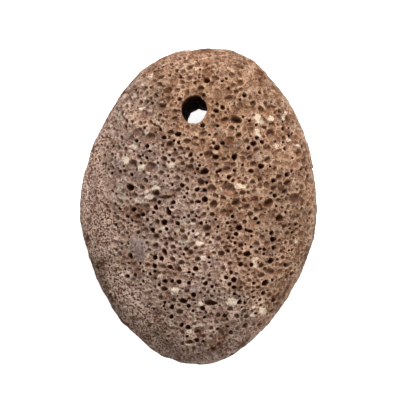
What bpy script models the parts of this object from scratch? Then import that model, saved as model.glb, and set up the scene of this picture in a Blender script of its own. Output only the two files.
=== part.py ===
"""A drilled pumice foot stone: one egg-shaped, pitted lava pebble with a hole for a hanging cord.

The stone lies on its ground-off foot. +X is its width, +Y its length with the hole towards +Y, and +Z is up.
The origin is on the resting plane, under the middle of the outline. The body is worked out about its own
centre, and every point of its surface is body_radius() away from there.
"""

import math

import bmesh
import bpy
import numpy as np
from mathutils import Matrix, Vector

MM = 0.001

# Driving dimensions
OUTLINE_MM = (  # radii seen from above, anticlockwise from +X in equal steps, with the blunt end at +Y
    37.5, 38.1, 40.9, 44.8, 49.7, 49.9, 47.4, 42.4, 38.8, 37.2,
    37.1, 37.4, 39.0, 42.6, 47.4, 50.2, 47.2, 42.2, 39.2, 37.9,
)
CROWN = 16.0 * MM  # rise of the upper face above the widest line
BELLY = 14.6 * MM  # drop of the lower face below the widest line
FOOT = 14.0 * MM  # the lower face is ground flat this far below the widest line
FULLNESS = 2.3  # 2 is an ellipse in side view, and more is a fuller shoulder

# Broad hollows and swellings of the two faces: height, wavelengths along X and Y, and phase
SWELLS = (
    (0.42 * MM, 46 * MM, 61 * MM, 0.6),
    (0.32 * MM, -33 * MM, 42 * MM, 2.1),
    (0.20 * MM, 27 * MM, -24 * MM, 4.0),
    (0.15 * MM, -19 * MM, -31 * MM, 5.2),
)

# Worn facets: the way each one faces, and its distance from the body's centre
FACETS = (
    ((-0.80, -0.05, 0.60), 31.0 * MM),
    ((-0.45, -0.72, 0.53), 39.2 * MM),
    ((0.50, -0.60, 0.62), 35.4 * MM),
    ((0.10, 0.80, 0.60), 41.3 * MM),
    ((0.60, 0.30, -0.74), 29.1 * MM),
    ((-0.45, 0.50, -0.74), 31.0 * MM),
)
FACET_BLEND = 1.6 * MM  # how widely a facet rounds into the face beside it

# The drilled hole, upright, and the hollow that the cord has worn in its upper mouth
HOLE_X, HOLE_Y = 0.0 * MM, 28.3 * MM
HOLE_RADIUS = 4.0 * MM
HOLE_SIDES = 32
CORD_WEAR = dict(x=0.5 * MM, y=31.0 * MM, long=3.4 * MM, short=3.0 * MM, depth=1.0 * MM, turn=90)

# The view of the upper face in which the boldest pits are placed by column and row
VIEW_LEAN = math.radians(4.2)  # its eye stands over towards +X
VIEW_TILT = math.radians(8.2)  # and over towards -Y
VIEW_DISTANCE = 700 * MM
VIEW_PIXEL = 0.3145 * MM  # at the depth of the body's centre
VIEW_MIDDLE = (200, 200)
VIEW_CENTRE = (197.2, 204.8)  # where the body's centre is seen

# The boldest pits: column and row of the view, long and short rim radius and depth in mm, and turn in degrees
FACE_PITS = (
    (235.8, 119.7, 1.9, 1.3, 2.1, -20), (217, 95, 2.2, 1.7, 0.8, 80), (216.6, 57.2, 1.4, 0.9, 1.0, 0),
    (234.6, 156.6, 1.2, 1.0, 2.3, 80), (204.3, 171.5, 1.5, 1.1, 2.1, 15), (204.7, 199.2, 1.1, 1.0, 2.0, 0),
    (295, 198, 2.4, 1.6, 1.3, 15), (268.6, 202.8, 1.7, 1.4, 1.5, 35), (279.7, 218, 1.3, 1.2, 1.6, 20),
    (246, 206.8, 1.5, 1.1, 1.2, 20), (239, 227.8, 1.2, 1.1, 1.8, 0), (247, 254, 1.3, 1.0, 1.8, 20),
    (129.8, 187.1, 1.5, 1.2, 2.2, -30), (165, 197.4, 2.1, 0.8, 1.0, 8), (210, 303, 2.0, 1.1, 1.9, -5),
    (183, 301, 1.4, 1.0, 1.8, -10), (155, 334, 1.7, 0.9, 1.2, -35), (189, 342, 1.3, 0.9, 1.3, 0),
    (164, 289, 1.2, 0.9, 1.2, -10), (168, 90.4, 1.4, 1.2, 1.2, 40), (160.5, 77.5, 1.4, 0.7, 1.2, 25),
    (189.6, 67.3, 1.2, 0.9, 1.2, 30), (215.4, 78, 1.3, 0.9, 0.9, -10), (244.3, 95.2, 0.9, 0.8, 1.6, 0),
    (253.8, 143.4, 1.1, 0.9, 1.8, 0), (261, 166.2, 1.1, 0.9, 1.8, 0), (273.5, 180.4, 0.9, 0.8, 1.6, 0),
    (287.8, 182.7, 1.5, 1.1, 1.3, 20), (251, 171, 1.0, 0.8, 1.4, 0), (178, 134, 1.1, 0.9, 1.6, 0),
    (187, 141, 1.2, 1.0, 1.0, 0), (229.7, 139.6, 1.4, 1.2, 0.8, 0), (238.5, 135, 1.1, 0.9, 1.2, 30),
    (220, 170, 0.8, 0.7, 1.2, 0), (250, 231, 1.1, 0.7, 1.5, 0),
)
PIT_SIDES = 7
PIT_RINGS = 4

# The other bold pits, scattered over the whole stone
LOOSE_PITS = 130
LOOSE_SEED = 11
LOOSE_RADIUS = (1.0 * MM, 2.0 * MM)
LOOSE_DEPTH = (0.6, 1.1)  # as a share of the pit's long radius
LOOSE_STRETCH = (0.62, 0.95)  # short radius over long radius
LOOSE_SPACING = 2.2 * MM  # least clear ground between the rims of two pits
FOOT_CLEAR = 7 * MM  # the middle of the foot has no pits, so that it stands flat
HOLE_CLEAR = 7.0 * MM

CAGE_LEVELS = 4
COLOUR = (0.40, 0.25, 0.17, 1.0)
ROUGHNESS = 0.95


def outline_radius(angle):
    """Outline radius towards each angle: the sum of the cosine waves that meets every entry of OUTLINE_MM."""
    radii = np.array(OUTLINE_MM) * MM
    waves = np.fft.rfft(radii) / len(radii)
    order = np.arange(len(waves))
    twice = np.where((order == 0) | (order == len(radii) // 2), 1.0, 2.0)
    return (twice * waves * np.exp(1j * np.multiply.outer(angle, order))).real.sum(axis=-1)


def rounded_radius(direction, swell):
    """(across / outline)^n + (|rise| / height)^n = 1, solved for the distance along each unit direction."""
    x, y, z = direction.T
    across = np.hypot(x, y) / outline_radius(np.arctan2(y, x))
    rise = np.abs(z) / (np.where(z > 0, CROWN, BELLY) + swell)
    return (across**FULLNESS + rise**FULLNESS) ** (-1 / FULLNESS)


def swell_at(points):
    """The sum of SWELLS, each a sine wave over X and Y."""
    heights = [
        high * np.sin(2 * np.pi * (points[:, 0] / wide + points[:, 1] / long) + phase)
        for high, wide, long, phase in SWELLS
    ]
    return np.sum(heights, axis=0)


def soft_minimum(a, b, blend):
    """The lesser of a and b, rounded over a stretch of blend where they cross."""
    near = np.maximum(blend - np.abs(a - b), 0) / blend
    return np.minimum(a, b) - near**2 * blend / 4


def body_radius(direction):
    """Distance from the body's centre to its surface along each unit direction."""
    plain = rounded_radius(direction, 0.0)
    radius = rounded_radius(direction, swell_at(direction * plain[:, None]))
    for facing, distance in FACETS:
        normal = np.array(facing) / np.linalg.norm(facing)
        towards = np.maximum(direction @ normal, 0.05)
        radius = soft_minimum(radius, distance / towards, FACET_BLEND)
    downwards = np.maximum(-direction[:, 2], 1e-6)
    return np.minimum(radius, FOOT / downwards)


def on_surface(points):
    """Each point moved along its line from the body's centre onto the surface."""
    direction = points / np.linalg.norm(points, axis=1, keepdims=True)
    return direction * body_radius(direction)[:, None]


def surface_normals(points, step=0.05 * MM):
    """Outward unit normals: the slope of |p| / body_radius(p) at each point, by central differences."""
    slopes = []
    for axis in np.eye(3) * step:
        ratios = [
            np.linalg.norm(p, axis=1) / body_radius(p / np.linalg.norm(p, axis=1, keepdims=True))
            for p in (points + axis, points - axis)
        ]
        slopes.append(ratios[0] - ratios[1])
    slope = np.stack(slopes, axis=1)
    return slope / np.linalg.norm(slope, axis=1, keepdims=True)


def on_upper_face(x, y):
    """The point of the upper face above (x, y)."""
    across = math.hypot(x, y) / outline_radius(np.array([math.atan2(y, x)]))[0]
    rise = CROWN * (1 - across**FULLNESS) ** (1 / FULLNESS)
    return on_surface(np.array([[x, y, rise]]))[0]


def on_seen_face(spots):
    """The points of the surface seen at (column, row) spots of the view. Each line of sight starts inside the
    stone, level with its centre, and the way out to the surface is halved again and again."""
    away = np.array([math.tan(VIEW_LEAN), -math.tan(VIEW_TILT), 1.0])
    away = away / np.linalg.norm(away)
    up = np.array([0.0, 1.0, 0.0]) - away * away[1]
    up = up / np.linalg.norm(up)
    right = np.cross(up, away)
    across, down = (np.array(spots) - VIEW_CENTRE).T * VIEW_PIXEL
    inside = np.outer(across, right) - np.outer(down, up)
    shift = (np.array(VIEW_MIDDLE) - VIEW_CENTRE) * VIEW_PIXEL
    sight = right * shift[0] - up * shift[1] + away * VIEW_DISTANCE - inside
    sight = sight / np.linalg.norm(sight, axis=1, keepdims=True)
    near, far = np.zeros(len(inside)), np.full(len(inside), 3 * CROWN)
    for _ in range(40):
        half = (near + far) / 2
        points = inside + sight * half[:, None]
        length = np.linalg.norm(points, axis=1)
        within = length < body_radius(points / length[:, None])
        near, far = np.where(within, half, near), np.where(within, far, half)
    return inside + sight * near[:, None]


def face_pits():
    """The boldest pits, each as its middle, long and short rim radius, depth and turn in radians."""
    middles = on_seen_face([pit[:2] for pit in FACE_PITS])
    return [
        (middle, long * MM, short * MM, depth * MM, math.radians(turn))
        for middle, (_, _, long, short, depth, turn) in zip(middles, FACE_PITS)
    ]


def loose_pits(bold):
    """Pits scattered evenly over the stone, each tried in turn and kept if the ground around it is clear."""
    rng = np.random.default_rng(LOOSE_SEED)
    scale = np.array([np.mean(OUTLINE_MM), np.mean(OUTLINE_MM), 15.0]) * MM
    taken = [(middle, long) for middle, long, *_ in bold]
    kept = []
    while len(kept) < LOOSE_PITS:
        ball = rng.normal(size=3)
        point = on_surface((ball * scale)[None, :])[0]
        long = rng.uniform(*LOOSE_RADIUS)
        short = long * rng.uniform(*LOOSE_STRETCH)
        depth = long * rng.uniform(*LOOSE_DEPTH)
        turn = rng.uniform(0, math.pi)
        over_foot = point[2] < -0.9 * FOOT and math.hypot(point[0], point[1]) < FOOT_CLEAR
        by_hole = math.hypot(point[0] - HOLE_X, point[1] - HOLE_Y) < HOLE_CLEAR
        crowded = any(np.linalg.norm(point - p) < long + r + LOOSE_SPACING for p, r in taken)
        if over_foot or by_hole or crowded:
            continue
        taken.append((point, long))
        kept.append((point, long, short, depth, turn))
    return kept


def pit_axes(normal, turn):
    """Axes of a pit: its long way turned from +X about the surface normal, its short way, and the normal."""
    sideways = np.cross((0.0, 1.0, 0.0), normal)
    sideways = sideways / np.linalg.norm(sideways)
    other = np.cross(normal, sideways)
    along = math.cos(turn) * sideways + math.sin(turn) * other
    return np.stack([along, np.cross(normal, along), normal], axis=1)


def new_collection(name, parent):
    collection = bpy.data.collections.new(name)
    parent.children.link(collection)
    return collection


def cutter(name, mesh, collection):
    """A hidden wire object that only takes part in a Boolean."""
    made = bpy.data.objects.new(name, mesh)
    made.hide_render = True
    made.display_type = "WIRE"
    collection.objects.link(made)
    return made


def pit_cutter(name, middle, long, short, depth, turn, lift, collection):
    """A ball stretched to the pit's radii and depth, with its middle on the surface."""
    normal = surface_normals(middle[None, :])[0]
    axes = pit_axes(normal, turn) @ np.diag([long, short, depth])
    place = Matrix(axes.tolist()).to_4x4()
    place.translation = Vector(middle + (0, 0, lift))
    shape = bmesh.new()
    bmesh.ops.create_uvsphere(shape, u_segments=PIT_SIDES, v_segments=PIT_RINGS, radius=1.0)
    shape.transform(place)
    mesh = bpy.data.meshes.new(name)
    shape.to_mesh(mesh)
    shape.free()
    return cutter(name, mesh, collection)


def drill_cutter(lift, collection):
    """An upright round bar through the whole stone."""
    shape = bmesh.new()
    bmesh.ops.create_cone(
        shape,
        cap_ends=True,
        segments=HOLE_SIDES,
        radius1=HOLE_RADIUS,
        radius2=HOLE_RADIUS,
        depth=4 * CROWN,
        matrix=Matrix.Translation((HOLE_X, HOLE_Y, lift)),
    )
    mesh = bpy.data.meshes.new("drill")
    shape.to_mesh(mesh)
    shape.free()
    return cutter("drill", mesh, collection)


def pebble_mesh(lift):
    """A cube rounded by subdivision, with each corner then moved out to the stone's surface."""
    bpy.ops.mesh.primitive_cube_add(size=2)
    cage = bpy.context.object
    rounding = cage.modifiers.new("rounding", "SUBSURF")
    rounding.levels = CAGE_LEVELS
    rounding.render_levels = CAGE_LEVELS
    graph = bpy.context.evaluated_depsgraph_get()
    mesh = bpy.data.meshes.new_from_object(cage.evaluated_get(graph))
    bpy.data.objects.remove(cage)
    points = np.empty(len(mesh.vertices) * 3, np.float32)
    mesh.vertices.foreach_get("co", points)
    ball = points.reshape(-1, 3).astype(float)
    ball = ball / np.linalg.norm(ball, axis=1, keepdims=True)
    stretch = np.array([np.mean(OUTLINE_MM) * MM, np.max(OUTLINE_MM) * MM, CROWN])
    placed = on_surface(ball * stretch) + (0, 0, lift)
    mesh.vertices.foreach_set("co", placed.astype(np.float32).ravel())
    mesh.update()
    return mesh


def lava_material():
    material = bpy.data.materials.new("lava")
    material.use_nodes = True
    finish = material.node_tree.nodes["Principled BSDF"]
    finish.inputs["Base Color"].default_value = COLOUR
    finish.inputs["Roughness"].default_value = ROUGHNESS
    finish.inputs["Metallic"].default_value = 0.0
    return material


def cut(stone, name, **operand):
    """Takes an object or a collection away from the stone."""
    modifier = stone.modifiers.new(name, "BOOLEAN")
    modifier.operation = "DIFFERENCE"
    modifier.solver = "EXACT"
    for key, value in operand.items():
        setattr(modifier, key, value)


def main():
    for old in list(bpy.data.objects):
        bpy.data.objects.remove(old)
    everything = bpy.context.scene.collection
    parts = new_collection("pumice_stone", everything)
    cutters = new_collection("pumice_stone_cutters", everything)
    pits = new_collection("pits", cutters)
    lift = FOOT

    stone = bpy.data.objects.new("pumice_stone", pebble_mesh(lift))
    stone.data.materials.append(lava_material())
    parts.objects.link(stone)

    bold = face_pits()
    for number, pit in enumerate(bold + loose_pits(bold)):
        pit_cutter(f"pit_{number:02d}", *pit, lift, pits)
    worn = on_upper_face(CORD_WEAR["x"], CORD_WEAR["y"])
    wear = pit_cutter(
        "cord_wear", worn, CORD_WEAR["long"], CORD_WEAR["short"], CORD_WEAR["depth"],
        math.radians(CORD_WEAR["turn"]), lift, cutters,
    )
    cut(stone, "pits", operand_type="COLLECTION", collection=pits)
    cut(stone, "worn_mouth", object=wear)
    cut(stone, "drilled_hole", object=drill_cutter(lift, cutters))
    stone.data.shade_smooth()
    stone.data.set_sharp_from_angle(angle=math.radians(35))


main()
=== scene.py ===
"""Looks of a drilled pumice foot stone: its pitted skin, its lava finish and a pale studio.

Lengths are in millimetres in the named values and while the shapes are worked out, and in metres once they
are in a mesh. +X is the stone's width, +Y its length with the hole towards +Y, and +Z is up. The stone
lies on z = 0. Its skin is worked out about the body's own centre, FOOT above that plane.
"""

import math
from types import SimpleNamespace

import bpy
import numpy as np
from mathutils import Matrix, Vector
from mathutils.geometry import delaunay_2d_cdt
from mathutils.kdtree import KDTree


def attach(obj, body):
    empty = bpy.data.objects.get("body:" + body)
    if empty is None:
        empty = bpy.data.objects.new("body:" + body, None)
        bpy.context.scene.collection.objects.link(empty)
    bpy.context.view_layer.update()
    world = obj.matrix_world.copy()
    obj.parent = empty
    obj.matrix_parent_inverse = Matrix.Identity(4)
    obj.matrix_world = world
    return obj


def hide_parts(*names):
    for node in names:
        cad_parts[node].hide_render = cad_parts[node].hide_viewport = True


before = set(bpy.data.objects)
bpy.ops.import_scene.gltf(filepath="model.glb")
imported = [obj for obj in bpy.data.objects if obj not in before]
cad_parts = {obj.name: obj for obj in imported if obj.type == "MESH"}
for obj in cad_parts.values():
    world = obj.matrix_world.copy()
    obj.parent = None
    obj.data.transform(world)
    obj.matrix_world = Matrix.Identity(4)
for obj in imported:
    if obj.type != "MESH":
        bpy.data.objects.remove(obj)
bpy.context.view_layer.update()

bl_info = {
    "name": "Pumice foot stone",
    "version": (1, 0, 0),
    "blender": (4, 5, 0),
    "location": "View3D > Sidebar > Pumice",
    "description": "Dresses the drilled pumice stone with a pitted skin and a lava finish, in a pale studio",
    "category": "Object",
}

MM = 0.001

# The body, as the solid has it: the outline's radii in equal steps round the turn from +X, how far the crown,
# the belly and the flat foot lie from the widest line, and the profile's power, which is 2 for an ellipse
OUTLINE = np.array((
    37.5, 38.1, 40.9, 44.8, 49.7, 49.9, 47.4, 42.4, 38.8, 37.2,
    37.1, 37.4, 39.0, 42.6, 47.4, 50.2, 47.2, 42.2, 39.2, 37.9,
))
CROWN = 16.0
BELLY = 14.6
FOOT = 14.0
FULLNESS = 2.3
SWELLS = (  # height, wavelengths along X and Y, phase
    (0.42, 46, 61, 0.6), (0.32, -33, 42, 2.1), (0.20, 27, -24, 4.0), (0.15, -19, -31, 5.2),
)
FACETS = (  # which way a worn flat faces, and its distance from the body's centre
    ((-0.80, -0.05, 0.60), 31.0), ((-0.45, -0.72, 0.53), 39.2), ((0.50, -0.60, 0.62), 35.4),
    ((0.10, 0.80, 0.60), 41.3), ((0.60, 0.30, -0.74), 29.1), ((-0.45, 0.50, -0.74), 31.0),
)
FACET_BLEND = 1.6
HOLE = (0.0, 28.3)
HOLE_RADIUS = 4.0
CORD_WEAR = (0.5, 31.0, 3.4, 3.0, 1.0, 90)  # x, y, long and short radius, depth, turn in degrees
MOUTH_CHIPS = (  # upper (1) or lower (-1) mouth, direction and width in degrees, how far back, how deep
    (1, 86, 34, 0.75, 0.8), (1, -112, 26, 0.85, 3.2), (1, -70, 22, 0.55, 2.6), (1, 150, 16, 0.25, 0.8),
    (-1, 92, 12, 0.35, 0.8), (-1, 60, 9, 0.30, 0.8), (-1, 128, 10, 0.40, 0.8), (-1, -80, 30, 0.3, 0.8),
)

# The camera's frame, and how far its middle lies right of and above the stone's, in its pixels
FRAME_PIXELS = 400
AIM_SHIFT = (2.8, 4.8)

# The solid's bold pits: the frame's column and row, long and short rim radius, depth, turn in degrees
FACE_PITS = (
    (235.8, 119.7, 1.9, 1.3, 2.1, -20), (217, 95, 2.2, 1.7, 0.8, 80), (216.6, 57.2, 1.4, 0.9, 1.0, 0),
    (234.6, 156.6, 1.2, 1.0, 2.3, 80), (204.3, 171.5, 1.5, 1.1, 2.1, 15), (204.7, 199.2, 1.1, 1.0, 2.0, 0),
    (295, 198, 2.4, 1.6, 1.3, 15), (268.6, 202.8, 1.7, 1.4, 1.5, 35), (279.7, 218, 1.3, 1.2, 1.6, 20),
    (246, 206.8, 1.5, 1.1, 1.2, 20), (239, 227.8, 1.2, 1.1, 1.8, 0), (247, 254, 1.3, 1.0, 1.8, 20),
    (129.8, 187.1, 1.5, 1.2, 2.2, -30), (165, 197.4, 2.1, 0.8, 1.0, 8), (210, 303, 2.0, 1.1, 1.9, -5),
    (183, 301, 1.4, 1.0, 1.8, -10), (155, 334, 1.7, 0.9, 1.2, -35), (189, 342, 1.3, 0.9, 1.3, 0),
    (164, 289, 1.2, 0.9, 1.2, -10), (168, 90.4, 1.4, 1.2, 1.2, 40), (160.5, 77.5, 1.4, 0.7, 1.2, 25),
    (189.6, 67.3, 1.2, 0.9, 1.2, 30), (215.4, 78, 1.3, 0.9, 0.9, -10), (244.3, 95.2, 0.9, 0.8, 1.6, 0),
    (253.8, 143.4, 1.1, 0.9, 1.8, 0), (261, 166.2, 1.1, 0.9, 1.8, 0), (273.5, 180.4, 0.9, 0.8, 1.6, 0),
    (287.8, 182.7, 1.5, 1.1, 1.3, 20), (251, 171, 1.0, 0.8, 1.4, 0), (178, 134, 1.1, 0.9, 1.6, 0),
    (187, 141, 1.2, 1.0, 1.0, 0), (229.7, 139.6, 1.4, 1.2, 0.8, 0), (238.5, 135, 1.1, 0.9, 1.2, 30),
    (220, 170, 0.8, 0.7, 1.2, 0), (250, 231, 1.1, 0.7, 1.5, 0),
)

# The solid's loose pits: depth and short radius are shares of the long radius
LOOSE_PITS = 130
LOOSE_SEED = 11
LOOSE_SPREAD = 15.0  # how far up and down the tries spread, beside the outline's mean radius sideways
LOOSE_RADIUS = (1.0, 2.0)
LOOSE_DEPTH = (0.6, 1.1)
LOOSE_STRETCH = (0.62, 0.95)
LOOSE_SPACING = 2.2
FOOT_CLEAR = 7
HOLE_CLEAR = 7.0
LOOSE_WEAR = 0.6  # how deep the skin draws the upper face's, beside the pits placed one by one

# Smaller pits placed one by one: kind, long radius, and the frame's (column, row) at which the camera sees
# each
SEEN_PITS = (
    ("deep", 0.3, (
        (172, 69), (157.5, 91), (162.5, 94), (127.5, 110), (215, 129), (198, 162.5), (111, 164), (101.5, 174),
        (184.5, 174.5), (110, 188), (201, 191.5), (231, 198.5), (237.5, 211.5), (265, 212.5), (222, 229),
        (263, 231.5), (281, 232), (287, 254), (275, 254.5), (269.5, 255), (191.5, 280), (229, 297),
        (244, 297), (224.5, 297.5),
    )),
    ("deep", 0.4, (
        (150, 87), (172.5, 97.5), (234.5, 103.5), (275.5, 106.5), (179.5, 110.5), (126, 113.5), (158.5, 120),
        (174, 124), (115.5, 154), (198, 158), (168.5, 162), (195, 173.5), (243, 175.5), (163.5, 181),
        (250.5, 217.5), (206, 222.5), (143, 225), (230, 226.5), (117, 227.5), (290, 228.5), (217, 232),
        (129, 237.5), (245.5, 244.5), (242, 249), (216.5, 260), (258, 263), (211, 266.5), (118.5, 275.5),
        (136, 286), (151.5, 291.5), (177.5, 296), (204.5, 296), (265.5, 299.5), (256.5, 303.5), (149.5, 313),
    )),
    ("deep", 0.5, (
        (154.5, 71.5), (271.5, 101.5), (137.5, 108), (116.5, 115.5), (243, 117), (154, 124), (289, 128),
        (155, 132), (209.5, 134.5), (174, 140.5), (283.5, 142), (175, 149.5), (142.5, 155), (169.5, 155),
        (292.5, 158), (140.5, 163), (158, 163), (242.5, 165), (199.5, 165.5), (270, 166.5), (168, 176),
        (226, 182), (297, 189.5), (187, 193.5), (276.5, 206), (196, 216), (184, 217.5), (215.5, 219.5),
        (188.5, 233.5), (175, 234), (251.5, 236), (251, 247), (289, 250.5), (264, 254), (295.5, 265.5),
        (143.5, 271.5), (163.5, 306.5), (153.5, 309),
    )),
    ("deep", 0.6, (
        (171.5, 64.5), (206.5, 64.5), (162.5, 67), (169.5, 75.5), (180.5, 77.5), (194.5, 82.5), (228.5, 88.5),
        (135.5, 90), (240, 100), (152, 103), (217, 103.5), (249.5, 120.5), (132, 121.5), (217.5, 125.5),
        (144, 127.5), (178.5, 142.5), (213.5, 143), (113, 146), (149.5, 151), (201, 155), (146.5, 157.5),
        (102, 163), (234.5, 170.5), (217, 171.5), (112, 173.5), (131.5, 174.5), (206.5, 182.5), (172, 184.5),
        (307, 189), (167.5, 208.5), (301.5, 209), (153, 212.5), (127.5, 216.5), (232.5, 216.5), (147, 219.5),
        (259, 222.5), (201, 223), (227.5, 223), (115, 224.5), (296, 224.5), (218, 227), (166.5, 229),
        (246, 230), (292.5, 232.5), (228.5, 238), (235, 243), (260, 249), (264.5, 249.5), (292.5, 250),
        (209, 257.5), (277.5, 259.5), (189, 272.5), (150, 274), (272, 280), (143.5, 281.5), (254, 283.5),
        (159, 285), (212, 286.5), (241, 287.5), (252.5, 292), (234.5, 294), (110.5, 294.5), (253.5, 297.5),
        (115.5, 298), (260, 300), (164.5, 302.5), (245, 303), (193, 311), (255.5, 313), (204.5, 317.5),
        (227.5, 327), (218, 329.5), (187, 336.5), (203, 342),
    )),
    ("deep", 0.7, (
        (179.5, 99), (280, 111), (264.5, 127), (283.5, 128.5), (160, 129), (289.5, 135.5), (257, 137.5),
        (136, 140.5), (262, 142), (222.5, 143), (147, 146), (248.5, 148), (285, 148.5), (204.5, 190),
        (275, 195.5), (159, 202.5), (142.5, 214.5), (256, 218.5), (236, 234), (228, 251), (251.5, 265),
        (231, 272.5), (226, 277.5), (172, 281.5), (189, 283), (229.5, 284.5), (234, 287.5), (112, 300.5),
        (188.5, 306), (225, 316.5),
    )),
    ("deep", 0.8, (
        (285.5, 105), (222.5, 107), (216, 110.5), (202.5, 125), (164, 137.5), (302, 147), (190.5, 155),
        (287, 174.5), (229, 177), (182, 185.5), (197, 189.5), (173, 202.5), (155.5, 207.5), (133.5, 209.5),
        (177.5, 223.5), (152.5, 230), (271.5, 233), (207.5, 234.5), (274, 248), (186, 249.5), (155, 257.5),
        (161.5, 258.5), (240.5, 264.5), (286, 265), (154.5, 266), (170, 267), (291.5, 273.5), (179, 282),
        (205.5, 283.5), (193.5, 295), (273, 300), (239.5, 302.5), (171, 317), (259, 324.5), (188, 327.5),
        (231, 333), (196.5, 340.5),
    )),
    ("deep", 0.9, (
        (217, 147.5), (308, 176.5), (273, 239.5), (271, 261), (97, 268), (195.5, 269), (234, 280),
        (171.5, 307.5), (202.5, 308.5), (272, 311.5), (245, 326),
    )),
    ("deep", 1.0, ((206.5, 80.5), (215.5, 156.5), (168.5, 212.5), (164, 222.5), (265, 283))),
    ("half", 0.4, (
        (165.5, 104), (285.5, 238.5), (306, 243.5), (284, 249), (249, 270), (279, 280), (219.5, 295.5),
    )),
    ("half", 0.5, (
        (176, 103), (270.5, 106), (216.5, 182.5), (116, 194), (282.5, 207.5), (290.5, 212.5), (309.5, 218.5),
        (303, 250.5), (114, 255.5), (179.5, 257), (267, 262), (281, 290.5), (197.5, 319),
    )),
    ("half", 0.6, (
        (264.5, 92), (131, 105.5), (101.5, 145), (162.5, 145.5), (124.5, 171), (120, 171.5), (172, 207.5),
        (188.5, 216), (131, 226), (160, 232), (165, 238.5), (210, 242.5), (285.5, 243), (225, 247.5),
        (238, 259.5), (209, 275.5), (155.5, 278.5), (203, 278.5), (209.5, 280), (216, 285), (211.5, 296),
        (205.5, 312.5),
    )),
    ("half", 0.7, (
        (215.5, 135), (121, 137.5), (210.5, 148.5), (104, 155.5), (191.5, 202.5), (284.5, 226.5),
        (256.5, 252.5), (282.5, 257.5), (258, 287.5),
    )),
    ("half", 0.8, (
        (245.5, 63.5), (183, 72), (189, 78), (182, 82.5), (159.5, 84.5), (129.5, 86.5), (236, 92),
        (155.5, 95.5), (146.5, 102), (140.5, 103), (265.5, 104), (159.5, 116), (140, 123), (195.5, 138),
        (138.5, 157), (224, 159), (216, 164.5), (105.5, 165), (275, 169), (260, 179.5), (187, 180.5),
        (252.5, 182), (142, 187.5), (284.5, 191.5), (235.5, 194.5), (212, 214.5), (193.5, 220.5),
        (244.5, 222), (182, 231), (240.5, 245.5), (173, 247), (261, 265.5), (173.5, 300.5), (218, 315.5),
        (246.5, 316.5),
    )),
    ("half", 0.9, (
        (197, 64.5), (240, 74.5), (187, 92.5), (253, 103.5), (287.5, 119), (231.5, 128), (170.5, 132.5),
        (180.5, 148.5), (164, 159), (302, 169.5), (279, 177), (145.5, 180.5), (273.5, 188), (242.5, 193),
        (250.5, 214), (137.5, 216.5), (157, 222), (170.5, 239.5), (172.5, 259.5), (197.5, 259.5),
        (181.5, 262.5), (179, 269.5), (230, 309),
    )),
    ("half", 1.0, (
        (232, 75.5), (200.5, 88.5), (261, 109), (267.5, 160), (156, 236.5), (155.5, 246), (190, 253),
        (221, 253.5), (179.5, 312),
    )),
    ("half", 1.1, ((200.5, 182), (155.5, 193))),
    ("half", 1.2, ((262, 80), (170, 144.5), (208, 154), (236, 202.5), (206.5, 228.5))),
    ("half", 1.3, ((213.5, 204.5),)),
    ("crescent", 0.7, ((154.5, 81.5),)),
    ("crescent", 0.8, ((280, 117), (187.5, 149.5), (175, 154), (180, 158.5), (182.5, 164.5), (178, 190.5))),
    ("crescent", 0.9, (
        (246.5, 141), (195.5, 145), (253, 164), (217, 177), (215.5, 196), (223, 198.5), (218, 239),
        (148.5, 324.5),
    )),
    ("crescent", 1.0, ((272, 124), (256.5, 244.5))),
    ("crescent", 1.1, ((161.5, 106.5), (267, 148), (298.5, 153), (226.5, 169.5))),
    ("crescent", 1.2, ((228.5, 98.5), (224, 120), (132.5, 163.5), (211.5, 188.5), (255, 200))),
    ("crescent", 1.4, ((270.5, 134), (150, 137))),
    ("crescent", 1.8, ((228.5, 189),)),
    ("worn", 0.9, ((170.5, 82), (166.5, 126), (131.5, 138.5))),
    ("worn", 1.0, ((255, 74), (211, 161))),
    ("worn", 1.1, ((286.5, 165), (175, 287))),
    ("worn", 1.2, ((235.5, 67.5), (225, 150), (253, 223.5))),
    ("worn", 1.3, ((300.5, 179),)),
    ("worn", 1.6, ((290.5, 149.5),)),
)
SEEN_LONG_PITS = (  # column, row, long and short radius, turn in degrees, kind
    (144, 88, 1.2, 0.6, 20, "half"), (297, 125, 0.85, 0.45, 95, "deep"), (277, 163, 1.5, 0.5, 0, "crescent"),
    (198, 201.5, 0.8, 0.55, 0, "deep"), (164.5, 252, 1.2, 0.7, -60, "deep"),
    (301.5, 138.5, 0.9, 0.5, 95, "half"), (120.5, 310, 0.9, 0.5, -35, "deep"),
    (243, 183, 0.6, 0.35, 0, "deep"),
)
SEEN_RIM = 1.18  # radius of a seen pit's rim, in shares of the radius that looks dark
# Each kind's shade is the painted shade of its inside
SEEN_KINDS = {  # depth in shares of the short radius, and shade
    "deep": (1.7, 1.0), "half": (1.25, 0.66), "crescent": (1.15, 0.34), "worn": (0.5, 0.25),
}
WIDE_PIT = 0.8  # seen pits at least this wide get the rings of large ones

# Loose pits that fill the skin between the others: sampling kind, ranges of radius in shares of the pore size
# and of gap in shares of the radius, whether on the upper face, share of the tries that stay on fine ground,
# range of depth in shares of the radius, and how many go deep beside the usual share
UPPER_FROM = -3.0  # above this height the pits are those of the upper face
FILLING_PITS = (
    ("large", (1.05, 1.55), (-0.05, 0.35), True, 0.0, (0.6, 1.15), 0.5),
    ("middling", (0.72, 1.05), (-0.16, 0.25), True, 0.05, (0.65, 1.3), 1.0),
    ("small", (0.42, 0.66), (-0.10, 0.35), True, 0.45, (0.8, 1.4), 1.6),
    ("underside", (0.6, 1.4), (0.0, 0.5), False, 1.0, (0.5, 1.1), 1.0),
)
DEEP_DEPTH = (1.3, 2.0)
WORN_SHARE = 0.35

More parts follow.
